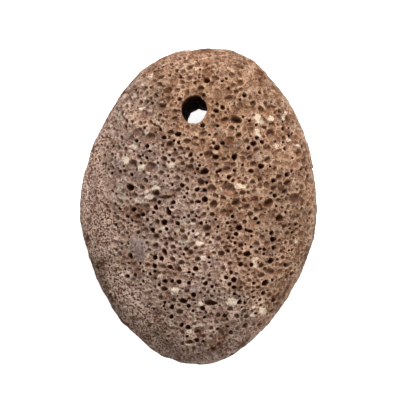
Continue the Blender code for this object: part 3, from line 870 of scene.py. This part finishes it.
def thinned(points, rank, cell):
    """Indices of one point for each small cell of space, the one of lowest rank."""
    order = np.argsort(rank, kind="stable")
    cells = np.floor(points[order] / cell).astype(np.int64)
    key = (cells[:, 0] * 73856093) ^ (cells[:, 1] * 19349663) ^ (cells[:, 2] * 83492791)
    _, first = np.unique(key, return_index=True)
    return np.sort(order[first])


def without_crowding(points):
    """Points with the later one of each pair closer than LEAST_GAP taken out."""
    tree = search_tree(points)
    keep = np.ones(len(points), bool)
    for number, point in enumerate(points.tolist()):
        if keep[number]:
            for hit in tree.find_range(point, LEAST_GAP):
                if hit[1] > number:
                    keep[hit[1]] = False
    return points[keep]


def skin_points(pits, kinds):
    """Where the skin is sampled: rings round every pit, closer on the upper face, and spread points
    between. Gives the points, the pit that each one's ring belongs to, or -1, and its rank: the lower, the
    surer it stays."""
    step = np.where(pits.middle[:, 2] > UPPER_FROM, RIM_STEP, RIM_STEP * UNDERSIDE_COARSER)
    found = []
    for rank, (kind, rings) in enumerate(RING_SHARES.items()):
        chosen = np.flatnonzero(kinds == kind)
        for share in rings:
            least = 1 if share == 0 else 4 if share < 0.7 else 6
            which, points = pit_ring(some(pits, chosen), share, step[chosen], least)
            found.append((points, chosen[which], np.full(len(points), rank + 1 - share)))
    rng = np.random.default_rng(5)
    ground = scattered_points(GROUND_TRIES, rng)
    ground = ground[thinned(ground, rng.random(len(ground)), GROUND_STEP)]
    ground = ground[(ground[:, 2] >= UPPER_FROM) | (rng.random(len(ground)) >= UNDERSIDE_DROPPED)]
    found.append((ground, np.full(len(ground), -1), np.full(len(ground), 9.0)))
    return [np.concatenate(one) for one in zip(*found)]


def open_points(pits, kinds):
    """The sampled points that stay: not in another pit's hollow, and not too near the hole, the foot's
    middle or each other."""
    points, owner, rank = skin_points(pits, kinds)
    *_, winner = hollowed(pits, points)
    _, across, _ = body_share(points)
    clear = (from_hole(points) > 0.3) & ((points[:, 2] > 0) | (across > POLE_SHARE + 0.03))
    stays = ((winner < 0) | (winner == owner)) & clear
    points, rank = points[stays], rank[stays]
    points = without_crowding(points[thinned(points, rank, LEAST_CELL)])
    return points[from_hole(points) > COLLAR_WIDTH]


def chart_faces(points, rings):
    """Triangles between the points: the Delaunay net of their flat chart, which keeps the edges of the
    rings, without the faces that would close a mouth of the hole."""
    edges = [(int(a), int(b)) for ring in rings for a, b in zip(ring, np.roll(ring, -1))]
    net = delaunay_2d_cdt(charted(points).tolist(), edges, [], 0, 1e-10, False)
    if len(net[0]) != len(points):
        raise RuntimeError("two points of the skin fell together on its chart")
    faces = np.array(net[2])
    in_mouth = (faces < 2 * MOUTH_POINTS).all(axis=1) & (from_hole(points[faces].mean(axis=1)) < 0)
    return faces[~in_mouth]


def strip(a, b):
    """Two triangles for each step round a pair of rings, a above b."""
    a2, b2 = np.roll(a, -1), np.roll(b, -1)
    return np.concatenate([np.column_stack([a, a2, b2]), np.column_stack([a, b2, b])])


def bore_surface(upper, lower, start):
    """The drilled wall: rows of a circle carried down from the upper mouth to the lower one, whose radius
    wavers and bulges where the drill cut through bubbles. Near each mouth it takes that mouth's own
    outline."""
    rng = np.random.default_rng(9)
    down = ((np.arange(BORE_ROWS) + 1.0) / (BORE_ROWS + 1))[:, None]
    angle = turns(MOUTH_POINTS)
    height = upper[None, :, 2] * (1 - down) + lower[None, :, 2] * down
    radius = HOLE_RADIUS + 0.04 + 0.05 * np.sin(5 * angle + 9 * down) * np.sin(23 * down + 2 * angle)
    bubbles = (rng.uniform(low, high, BORE_BUBBLES) for low, high in ((0, 2 * np.pi), (-11, 11), (0.5, 1.2)))
    for turn, drop, size in zip(*bubbles):
        around = (np.mod(angle - turn + np.pi, 2 * np.pi) - np.pi) * HOLE_RADIUS
        reach = (around[None, :] ** 2 + (height - drop) ** 2) / size**2
        radius = np.maximum(radius, HOLE_RADIUS + 0.7 * size * np.sqrt(np.maximum(1 - reach, 0)))
    radius = radius + mouth_chips(angle[None, :], 1, upper[None, :, 2] - height)
    at_upper = np.exp(-(upper[None, :, 2] - height) / 0.8)[..., None]
    at_lower = np.exp(-(height - lower[None, :, 2]) / 0.8)[..., None]
    wall = np.stack([HOLE[0] + radius * np.cos(angle), HOLE[1] + radius * np.sin(angle)], axis=2)
    wall = wall + at_upper * (upper[None, :, :2] - wall) + at_lower * (lower[None, :, :2] - wall)
    grid = start + np.arange(BORE_ROWS * MOUTH_POINTS).reshape(BORE_ROWS, MOUTH_POINTS)
    faces = np.concatenate([strip(grid[row], grid[row + 1]) for row in range(BORE_ROWS - 1)])
    return np.concatenate([wall, height[..., None]], axis=2).reshape(-1, 3), faces


def skin_surface(settings, studio):
    """The whole skin as points and triangles, with what its finish needs at each point."""
    pits, kinds = natural_pits(settings, studio)
    mouths = [mouth_ring(side, 0.0, MOUTH_POINTS) for side in (1, -1)]
    collars = [mouth_ring(side, out, count) for side in (1, -1) for out, count in COLLAR_RINGS]
    points = np.concatenate([*mouths, pole_ring(), *collars, open_points(pits, kinds)])
    upper = np.arange(MOUTH_POINTS)
    lower = upper + MOUTH_POINTS
    pole = 2 * MOUTH_POINTS + np.arange(POLE_POINTS)
    faces = chart_faces(points, (upper, lower, pole))

    normals = surface_normals(points)
    fall, shade, rim, _ = hollowed(pits, points)
    lip = np.maximum(from_hole(points), 0)
    rounding = LIP_ROUNDING * np.exp(-((lip / LIP_ROUNDING) ** 2))
    inwards = fall + relief(points, settings.relief) + rounding * (1 - 0.6 * np.clip(fall, 0, 1))
    skin = points - normals * inwards[:, None]
    skin[pole] = points[pole]

    centre = len(skin)
    bore, bore_faces = bore_surface(skin[upper], skin[lower], centre + 1)
    everything = np.concatenate([skin, [[0.0, 0.0, -FOOT]], bore])
    fan = np.column_stack([np.roll(pole, -1), pole, np.full(POLE_POINTS, centre)])
    first = centre + 1 + upper
    last = first + (BORE_ROWS - 1) * MOUTH_POINTS
    triangles = np.concatenate([faces, fan, bore_faces, strip(upper, first), strip(last, lower)])

    fill = np.zeros(len(bore) + 1)
    # how far each row of the bore lies from the nearer of its ends, for the painted shade down the hole
    down = np.minimum(skin[upper][:, 2].mean() - bore[:, 2], bore[:, 2] + FOOT)
    values = {
        # painted shade: inside the pits, and deepening down the bore
        "hollow": np.concatenate([shade, [0.0], np.clip(1 - np.exp(-down / 1.2), 0, 1)]),
        # painted highlight, partly wear, round the pit rims and the hole's mouth
        "rim": np.concatenate([np.maximum(rim, np.exp(-((lip / 0.35) ** 2)) * 0.6), fill]),
        "fine": np.concatenate([fine_ground(points), fill]),
        # painted rim light on the steep flanks
        "flank": np.concatenate([rim_lit_flank(points, normals), fill]),
        "warmth": warmth(everything),
        "drift": drift(everything, studio),
    }
    for name, (rows, *_) in MINERALS.items():
        values[name] = spots(everything, rows, studio)
    return everything, triangles, values


def put_mesh(name, points, triangles, values):
    """A mesh object at the origin, from points in metres, triangles and a float attribute for each value."""
    mesh = bpy.data.meshes.new(name)
    mesh.vertices.add(len(points))
    mesh.vertices.foreach_set("co", points.astype(np.float32).ravel())
    mesh.loops.add(3 * len(triangles))
    mesh.loops.foreach_set("vertex_index", triangles.astype(np.int32).ravel())
    mesh.polygons.add(len(triangles))
    mesh.polygons.foreach_set("loop_start", np.arange(0, 3 * len(triangles), 3, dtype=np.int32))
    mesh.update(calc_edges=True)
    mesh.validate()
    for key, value in values.items():
        mesh.attributes.new(key, "FLOAT", "POINT").data.foreach_set("value", value.astype(np.float32))
    made = bpy.data.objects.new(name, mesh)
    bpy.context.scene.collection.objects.link(made)
    return made


# ---------------------------------------------------------------- finishes


class Field:
    """A value that changes over the surface: an output of a node, which + - * and / carry on through math
    nodes."""

    def __init__(self, nodes, socket):
        self.nodes, self.socket = nodes, socket

    def __add__(self, other):
        return self.nodes.maths("ADD", self, other)

    def __sub__(self, other):
        return self.nodes.maths("SUBTRACT", self, other)

    def __rsub__(self, other):
        return self.nodes.maths("SUBTRACT", other, self)

    def __mul__(self, other):
        return self.nodes.maths("MULTIPLY", self, other)

    def __truediv__(self, other):
        return self.nodes.maths("DIVIDE", self, other)

    def clamped(self):
        """The value kept between 0 and 1 by its own math node."""
        self.socket.node.use_clamp = True
        return self


class Nodes:
    """Short hands for building a node tree."""

    def __init__(self, tree):
        self.tree = tree

    def feed(self, socket, value):
        """Links a Field or an output to a socket, or sets the socket to a constant."""
        value = value.socket if isinstance(value, Field) else value
        if isinstance(value, bpy.types.NodeSocket):
            self.tree.links.new(value, socket)
        else:
            socket.default_value = value

    def add(self, kind, inputs, **settings):
        """A node with its settings, and its inputs fed by name or number."""
        node = self.tree.nodes.new(kind)
        for key, value in settings.items():
            setattr(node, key, value)
        for key, value in inputs.items():
            self.feed(node.inputs[key], value)
        return node

    def made(self, output, kind, inputs, **settings):
        """One output of a new node, as a Field."""
        return Field(self, self.add(kind, inputs, **settings).outputs[output])

    def attribute(self, name):
        return self.made("Fac", "ShaderNodeAttribute", {}, attribute_name=name)

    def maths(self, operation, *given):
        return self.made(0, "ShaderNodeMath", dict(enumerate(given)), operation=operation)

    def vector(self, operation, inputs):
        return self.made("Vector", "ShaderNodeVectorMath", inputs, operation=operation)

    def mixed(self, factor, a, b, blend="MIX"):
        return self.made(2, "ShaderNodeMix", {0: factor, 6: a, 7: b}, data_type="RGBA", blend_type=blend)

    def ramp(self, value, low, high, to_low=0.0, to_high=1.0, kind="SMOOTHSTEP"):
        given = {"Value": value, "From Min": low, "From Max": high, "To Min": to_low, "To Max": to_high}
        return self.made("Result", "ShaderNodeMapRange", given, interpolation_type=kind)

    def slope(self, value, low, high, to_low=0.0, to_high=1.0):
        """A ramp with straight sides."""
        return self.ramp(value, low, high, to_low, to_high, "LINEAR")

    def noise(self, vector, scale, detail=2.0, roughness=0.5, output="Fac"):
        given = {"Vector": vector, "Scale": scale, "Detail": detail, "Roughness": roughness}
        return self.made(output, "ShaderNodeTexNoise", given)

    def split(self, value, kind="Color"):
        """The three parts of a colour, or of a vector where kind is XYZ."""
        return [Field(self, part) for part in self.add("ShaderNodeSeparate" + kind, {0: value}).outputs]

    def cells(self, vector, scale, randomness):
        """A foam's cells: the distance from each cell's middle, and two random values for each cell."""
        node = self.add("ShaderNodeTexVoronoi", {"Vector": vector, "Scale": scale, "Randomness": randomness})
        return Field(self, node.outputs["Distance"]), *self.split(node.outputs["Color"])[:2]

    def group(self, tree, **given):
        """The output of a node group, with its inputs fed."""
        return self.made(0, "ShaderNodeGroup", given, node_tree=tree)


def new_group(name, defaults, output):
    """An empty shader node group that takes a vector and some numbers, given with their defaults, and puts
    out one number. Gives its nodes, its inputs as Fields and the socket that takes what it puts out."""
    tree = bpy.data.node_groups.new(name, "ShaderNodeTree")
    tree.interface.new_socket("Vector", in_out="INPUT", socket_type="NodeSocketVector")
    for label, default in defaults.items():
        socket = tree.interface.new_socket(label, in_out="INPUT", socket_type="NodeSocketFloat")
        socket.default_value = default
    tree.interface.new_socket(output, in_out="OUTPUT", socket_type="NodeSocketFloat")
    nodes = Nodes(tree)
    given = nodes.add("NodeGroupInput", {}).outputs
    fields = [Field(nodes, given[label]) for label in ("Vector", *defaults)]
    return nodes, fields, nodes.add("NodeGroupOutput", {}).inputs[0]


def micro_pores_group():
    """Pores too small to model: round spots of random size in a share of a foam's cells."""
    nodes, fields, out = new_group("micro pores", {"Scale": 1.2, "Share": 0.6, "Size": 0.36}, "Mask")
    vector, scale, share, size = fields
    distance, random_size, random_share = nodes.cells(vector, scale, 0.9)
    reach = distance / (size * nodes.slope(random_size, 0.0, 1.0, 0.55, 1.15))
    nodes.feed(out, nodes.ramp(reach, 1.05, 0.6) * nodes.maths("LESS_THAN", random_share, share))
    return nodes.tree


def foam_group():
    """Adjoining shallow bowls: in each cell of a foam, one less the square of the distance from its
    middle, times a random strength. It is 0 on the ridges and up to 1 on the floors."""
    nodes, fields, out = new_group("foam", {"Scale": 0.6, "Wobble": 0.5, "Radius": 0.62}, "Depth")
    vector, scale, wobble, radius = fields
    sway = nodes.noise(vector, scale, output="Color")
    centred = nodes.vector("SUBTRACT", {0: sway, 1: (0.5, 0.5, 0.5)})
    wobbles = nodes.made("Vector", "ShaderNodeCombineXYZ", {0: wobble, 1: wobble, 2: wobble})
    swayed = nodes.vector("MULTIPLY_ADD", {0: centred, 1: wobbles, 2: vector})
    distance, strength, _ = nodes.cells(swayed, scale, 1.0)
    reach = distance / radius
    nodes.feed(out, (1.0 - reach * reach).clamped() * nodes.slope(strength, 0.0, 1.0, 0.25, 1.0))
    return nodes.tree


def spot_group():
    """A crisp, ragged spot cut from a soft ramp: the ramp less a little noise, passed through a narrow
    step."""
    defaults = {"Ramp": 0.0, "Grain": 0.9, "Raggedness": 0.5, "Softness": 0.08}
    nodes, fields, out = new_group("ragged spot", defaults, "Mask")
    vector, ramp, grain, raggedness, softness = fields
    value = ramp + (nodes.noise(vector, grain, 3.0, 0.6) - 0.5) * raggedness
    nodes.feed(out, nodes.ramp(value, 0.5 - softness, softness + 0.5))
    return nodes.tree


def colour(settings, name):
    """One of the settings' colours, with its alpha."""
    return (*getattr(settings, name), 1.0)


def new_finish(name, roughness, specular):
    """A material, its nodes, its shader and the place on the piece, in metres."""
    material = bpy.data.materials.new(name)
    material.use_nodes = True
    nodes = Nodes(material.node_tree)
    shader = material.node_tree.nodes["Principled BSDF"]
    shader.inputs["Roughness"].default_value = roughness
    shader.inputs["Specular IOR Level"].default_value = specular
    return material, nodes, shader, nodes.made("Object", "ShaderNodeTexCoord", {})


def lava_finish(settings):
    """Matt lava: tan ground mottled with grey, pink, mauve and straw, spots of MINERALS, a foam of shallow
    bowls and pores too small to model with painted shade in them, pale ridges and rims that are partly wear
    and partly painted highlight, painted rim light on the steep flanks, and painted shade in pits and down
    the bore that darkens with their depth."""
    material, nodes, shader, place = new_finish("lava", 0.95, 0.05)
    mm = nodes.vector("SCALE", {0: place, "Scale": 1 / MM})
    x, y, _ = nodes.split(mm, "XYZ")
    hollow, fine = nodes.attribute("hollow"), nodes.attribute("fine")

    def over(ground, share, name):
        return nodes.mixed(share, ground, colour(settings, name))

    # the ground's hues, from broad drifts to patches a few millimetres across
    broad = nodes.noise(mm, 0.09, 3.0)
    clouds = nodes.noise(mm, 0.19, 3.0, 0.6)
    red, green, blue = nodes.split(nodes.noise(mm, 0.32, 3.5, 0.62, "Color"))
    warm = nodes.attribute("warmth") + (clouds * 1.3 + broad * 1.2 - 1.25)
    ground = nodes.mixed(nodes.slope(warm, 1.0, 0.0), colour(settings, "tan"), colour(settings, "grey"))
    ground = over(ground, nodes.ramp(red, 0.48, 0.62, 0.0, 0.9), "pink")
    ground = over(ground, nodes.ramp(green, 0.50, 0.62, 0.0, 0.9), "mauve")
    ground = over(ground, nodes.ramp(blue, 0.51, 0.63, 0.0, 0.9), "straw")
    ground = over(ground, fine * nodes.ramp(y, -20.0, -2.0, 0.05, 1.0), "pink")

    # mineral spots, and small pale grains everywhere, thicker down the left half
    spot, masks = spot_group(), {}
    for name, (_, *edge, _, _, _) in MINERALS.items():
        given = dict(zip(("Grain", "Raggedness", "Softness"), edge))
        masks[name] = nodes.group(spot, Ramp=nodes.attribute(name), Vector=mm, **given)
    limit = nodes.ramp(broad - x * 0.006, 0.35, 0.75, 0.68, 0.59)
    flecks = nodes.ramp(nodes.noise(mm, 0.95, 2.5, 0.55), limit, limit + 0.05, 0.0, 0.7)
    pale = nodes.maths("MAXIMUM", masks["pale"], flecks)
    for name, (*_, under, _, _) in MINERALS.items():
        ground = over(ground, (pale if name == "pale" else masks[name]) * under, name)

    # shallow bowls between the modelled pits, small ones on fine ground, and pores too small to model
    foam = foam_group()
    open_ground = nodes.ramp(hollow, 0.30, 0.02)
    plain = open_ground * (1.0 - masks["lilac"] * 0.8)
    bowls = nodes.group(foam, Vector=mm, Scale=0.62, Wobble=0.9, Radius=0.66)
    bowls = bowls * plain * nodes.ramp(fine, 0.2, 0.8, 1.0, 0.2)
    beads = nodes.group(foam, Vector=mm, Scale=1.45, Wobble=0.3, Radius=0.66)
    beads = beads * plain * nodes.ramp(fine, 0.1, 0.8, 0.35, 1.0)
    pores = nodes.group(micro_pores_group(), Vector=mm, Scale=0.9, Share=0.6, Size=0.36) * open_ground

    # light and dark grain: glassy specks go pale, and so do pit rims and bead ridges, partly wear and partly
    # painted highlight; dark grain goes brown, and the floors of bowls and beads and the pores take painted
    # shade
    grain = nodes.noise(mm, 2.6, 3.0, 0.7)
    crumb = nodes.noise(mm, 0.95, 5.0, 0.68)
    speckle = grain * 1.1 + crumb * 0.95
    # the rims take a painted highlight, partly wear
    light = nodes.slope(speckle, 1.03, 1.26, 0.0, 0.85) + nodes.attribute("rim") * 0.55
    # painted highlight on the ridges between the beads
    light = light + nodes.ramp(beads, 0.25, 0.0) * fine * 0.75
    light = (light + nodes.ramp(clouds, 0.50, 0.68, 0.0, 0.55)).clamped()
    ground = over(ground, light, "worn")
    # painted rim light: the steep flanks go paler
    ground = over(ground, nodes.attribute("flank") * 0.6, "rim_light_beige")
    shade = nodes.slope(speckle, 1.02, 0.75, 0.0, 0.92) + nodes.ramp(clouds, 0.50, 0.32, 0.0, 0.58)
    # painted shade on the floors of the foam's bowls and beads
    shade = shade + bowls * 0.55 + nodes.ramp(beads, 0.30, 0.50)
    # random dark grain, the painted shade of bowls and beads, and painted shade in the pores
    ground = over(ground, nodes.maths("MAXIMUM", shade, pores * 0.9).clamped(), "dark_grain_and_shade")
    for name, (*_, again, _) in MINERALS.items():
        if again:
            ground = over(ground, masks[name] * again, name)

    # painted shade in the pits and down the bore, darkest where deepest, the warm and cool tints, and the
    # broad drifts of the ground
    dark = over(colour(settings, "dark_grain_and_shade"), nodes.ramp(hollow, 0.60, 1.0), "deep_pit_shade")
    ground = nodes.mixed(nodes.slope(hollow, 0.06, 0.86), ground, dark)
    tint = over(colour(settings, "cool"), nodes.slope(warm, 0.0, 1.0), "warm")
    tint = over(tint, nodes.slope(warm, 1.0, 2.0), "amber")
    ground = nodes.mixed(1.0 - pale * 0.6, ground, tint, "MULTIPLY")
    ground = nodes.vector("SCALE", {0: ground, "Scale": nodes.attribute("drift") * 2.0 + 1.0})
    nodes.feed(shader.inputs["Base Color"], ground)

    # relief in millimetres
    height = grain * 0.10 + crumb * 0.40 - bowls * 0.45 - beads * 0.22 - pores * 0.20
    bump = {"Strength": settings.grain_strength, "Distance": MM, "Height": height}
    nodes.feed(shader.inputs["Normal"], nodes.made("Normal", "ShaderNodeBump", bump))
    return material


def paper_finish(settings):
    """White backdrop paper, lit a little from behind."""
    material, nodes, shader, place = new_finish("backdrop_paper", 0.9, 0.1)
    shader.inputs["Emission Strength"].default_value = settings.paper_glow
    shader.inputs["Emission Color"].default_value = WHITE
    fibres = nodes.mixed(nodes.noise(place, 900.0), (0.90, 0.90, 0.90, 1.0), (0.93, 0.93, 0.93, 1.0))
    nodes.feed(shader.inputs["Base Color"], fibres)
    return material


# ---------------------------------------------------------------- settings and operators


SHARE = {"min": 0.0, "max": 1.0, "subtype": "FACTOR"}
ANGLE = {"subtype": "ANGLE", "unit": "ROTATION"}
LENGTH = {"subtype": "DISTANCE", "unit": "LENGTH"}
POWER = {"subtype": "POWER", "unit": "POWER"}


def whole(name, description, default):
    """A setting that is a whole number."""
    return bpy.props.IntProperty(name=name, description=description, default=default, min=0)


def number(name, description, default, **limits):
    """A setting that is a number, with its unit or limits."""
    return bpy.props.FloatProperty(name=name, description=description, default=default, **limits)


def tone(name, description, *default):
    """A setting that is a colour."""
    return bpy.props.FloatVectorProperty(
        name=name, description=description, subtype="COLOR", size=3, min=0.0, max=1.0, default=default
    )


class StoneSettings(bpy.types.PropertyGroup):
    seed: whole("Seed", "Changes where the smaller pits fall", 40)
    large_pits: whole("Large pits", "The most large pits", 520)
    middling_pits: whole("Middling pits", "The most middling pits", 1200)
    small_pits: whole("Small pits", "The most small pits", 1800)
    underside_pits: whole("Underside pits", "The most pits of the underside", 850)
    deep_share: number("Deep share", "Share of the pits that go deep", 0.25, **SHARE)
    relief: number("Relief", "Height of the low lumps, in millimetres", 0.8, min=0.0, max=2.0)
    grain_strength: number("Grain strength", "Strength of the fine relief", 0.8, **SHARE)
    tan: tone("Tan", "Main colour of the ground stone", 0.242, 0.123, 0.073)
    grey: tone("Grey", "Greyer parts of the ground", 0.228, 0.158, 0.124)
    pink: tone("Pink", "Pinkish parts of the ground", 0.287, 0.144, 0.094)
    mauve: tone("Mauve", "Dull mauve patches", 0.165, 0.111, 0.100)
    straw: tone("Straw", "Yellowish patches and spots", 0.297, 0.216, 0.135)
    rust: tone("Rust", "Orange-brown stains", 0.261, 0.126, 0.070)
    pale: tone("Pale", "Pale mineral spots", 0.720, 0.620, 0.475)
    ashen: tone("Ashen", "Greenish grey spots", 0.420, 0.385, 0.290)
    lilac: tone("Lilac", "Glassy lilac-grey spots", 0.212, 0.171, 0.158)
    # Worn ridges and pale grains, and the painted highlight on pit rims, the hole's mouth and the foam's bead
    # ridges
    worn: tone("Worn", "Worn ridges and pale grains", 0.530, 0.392, 0.300)
    # Painted rim light: the pale beige painted on the steep flanks
    rim_light_beige: tone("Weathered", "Smooth ground of the flanks", 0.530, 0.415, 0.330)
    cool: tone("Cool tint", "Tint of the greyish side", 0.965, 0.943, 1.000)
    warm: tone("Warm tint", "Tint of the orange side", 1.000, 0.900, 0.820)
    amber: tone("Amber tint", "Tint round the hole", 1.000, 0.865, 0.732)
    # Painted shade: the brown of the dark grain, and of the painted shade in the shallower pits, the foam's
    # floors and the pores
    dark_grain_and_shade: tone("Hollow brown", "Inside of the shallower pits", 0.099, 0.040, 0.017)
    # Painted shade: the darkest brown, painted inside the deepest pits and deep down the bore
    deep_pit_shade: tone("Deep brown", "Inside of the deepest pits", 0.044, 0.013, 0.004)


class StudioSettings(bpy.types.PropertyGroup):
    tilt: number("Tilt", "Lean of the camera from overhead to the foot end", math.radians(8.2), **ANGLE)
    lean: number("Lean", "Lean of the camera from overhead to the right", math.radians(4.2), **ANGLE)
    distance: number("Distance", "From the camera to the stone's middle", 0.7, **LENGTH)
    frame_width: number("Frame width", "What the picture's width spans at the stone", 0.1258, **LENGTH)
    key_power: number("Key power", "Power of the main light", 10.1, **POWER)
    sky: number("Sky", "Strength of the light from all round", 0.262, min=0.0)
    paper_glow: number("Paper glow", "Light that comes through the backdrop paper", 0.85, min=0.0)


class PUMICE_OT_skin(bpy.types.Operator):
    """Makes the stone's pitted skin, drilled hole and lava finish, in place of the plain solid"""

    bl_idname = "pumice.skin"
    bl_label = "Pitted skin"

    def execute(self, context):
        settings = context.scene.pumice_stone
        points, triangles, values = skin_surface(settings, context.scene.pumice_studio)
        if len(triangles) >= MOST_TRIANGLES:
            raise RuntimeError(f"the skin has {len(triangles)} triangles, over its limit of {MOST_TRIANGLES}")
        skin = put_mesh("stone_skin", (points + (0, 0, FOOT)) * MM, triangles, values)
        skin.data.shade_smooth()
        skin.data.set_sharp_from_angle(angle=math.radians(50))
        skin.data.materials.append(lava_finish(settings))
        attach(skin, "root")
        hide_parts("pumice_stone")
        return {"FINISHED"}


class PUMICE_OT_studio(bpy.types.Operator):
    """Makes the paper floor, the soft lights and the camera that looks down on the stone"""

    bl_idname = "pumice.studio"
    bl_label = "Studio"

    def execute(self, context):
        settings = context.scene.pumice_studio
        scene = context.scene
        scene.view_settings.view_transform = "Standard"

        bpy.ops.mesh.primitive_plane_add(size=1)
        floor = context.object
        floor.name = "paper_floor"
        floor.data.transform(Matrix.Diagonal((FLOOR_SIZE, FLOOR_SIZE, 1.0, 1.0)))
        floor.data.transform(Matrix.Translation((0, 0, -0.0001)))
        floor.data.materials.append(paper_finish(settings))
        floor.visible_diffuse = False

        world = bpy.data.worlds.new("studio")
        world.use_nodes = True
        backdrop = world.node_tree.nodes["Background"]
        backdrop.inputs["Color"].default_value = WHITE
        backdrop.inputs["Strength"].default_value = settings.sky
        scene.world = world

        middle = Vector((0, 0, FOOT * MM))
        for name, (place, size, share) in SOFTBOXES.items():
            add_softbox(name, middle + Vector(place), middle, size, share * settings.key_power)

        right, up, back, aim, _ = camera_view(settings)
        data = bpy.data.cameras.new("camera")
        data.sensor_width = SENSOR
        data.lens = SENSOR * settings.distance / settings.frame_width
        data.clip_start = 0.01
        camera = bpy.data.objects.new("camera", data)
        turn = Matrix((right, up, back)).transposed()
        place = Matrix.Translation(middle + Vector(aim * MM + back * settings.distance))
        camera.matrix_world = place @ turn.to_4x4()
        scene.collection.objects.link(camera)
        scene.camera = camera
        return {"FINISHED"}


def add_softbox(name, place, aim, size, power):
    """A square soft light at a place, turned to what it lights."""
    data = bpy.data.lights.new(name, "AREA")
    data.size = size
    data.energy = power
    light = bpy.data.objects.new(name, data)
    light.location = place
    light.rotation_euler = (aim - place).to_track_quat("-Z", "Y").to_euler()
    bpy.context.scene.collection.objects.link(light)


class PUMICE_PT_panel(bpy.types.Panel):
    """Shows the stone's and the studio's settings, each with the button that makes it"""

    bl_idname = "PUMICE_PT_panel"
    bl_label = "Pumice foot stone"
    bl_space_type = "VIEW_3D"
    bl_region_type = "UI"
    bl_category = "Pumice"

    def draw(self, context):
        for heading, group, operator in (
            ("Stone", context.scene.pumice_stone, PUMICE_OT_skin),
            ("Studio", context.scene.pumice_studio, PUMICE_OT_studio),
        ):
            box = self.layout.box()
            box.label(text=heading)
            for key in group.bl_rna.properties.keys():
                if key not in ("rna_type", "name"):
                    box.prop(group, key)
            box.operator(operator.bl_idname)


CLASSES = (StoneSettings, StudioSettings, PUMICE_OT_skin, PUMICE_OT_studio, PUMICE_PT_panel)


def register():
    for one in CLASSES:
        bpy.utils.register_class(one)
    bpy.types.Scene.pumice_stone = bpy.props.PointerProperty(type=StoneSettings)
    bpy.types.Scene.pumice_studio = bpy.props.PointerProperty(type=StudioSettings)


def unregister():
    del bpy.types.Scene.pumice_studio
    del bpy.types.Scene.pumice_stone
    for one in reversed(CLASSES):
        bpy.utils.unregister_class(one)


def main():
    register()
    bpy.ops.pumice.skin()
    bpy.ops.pumice.studio()


if __name__ == "__main__":
    main()
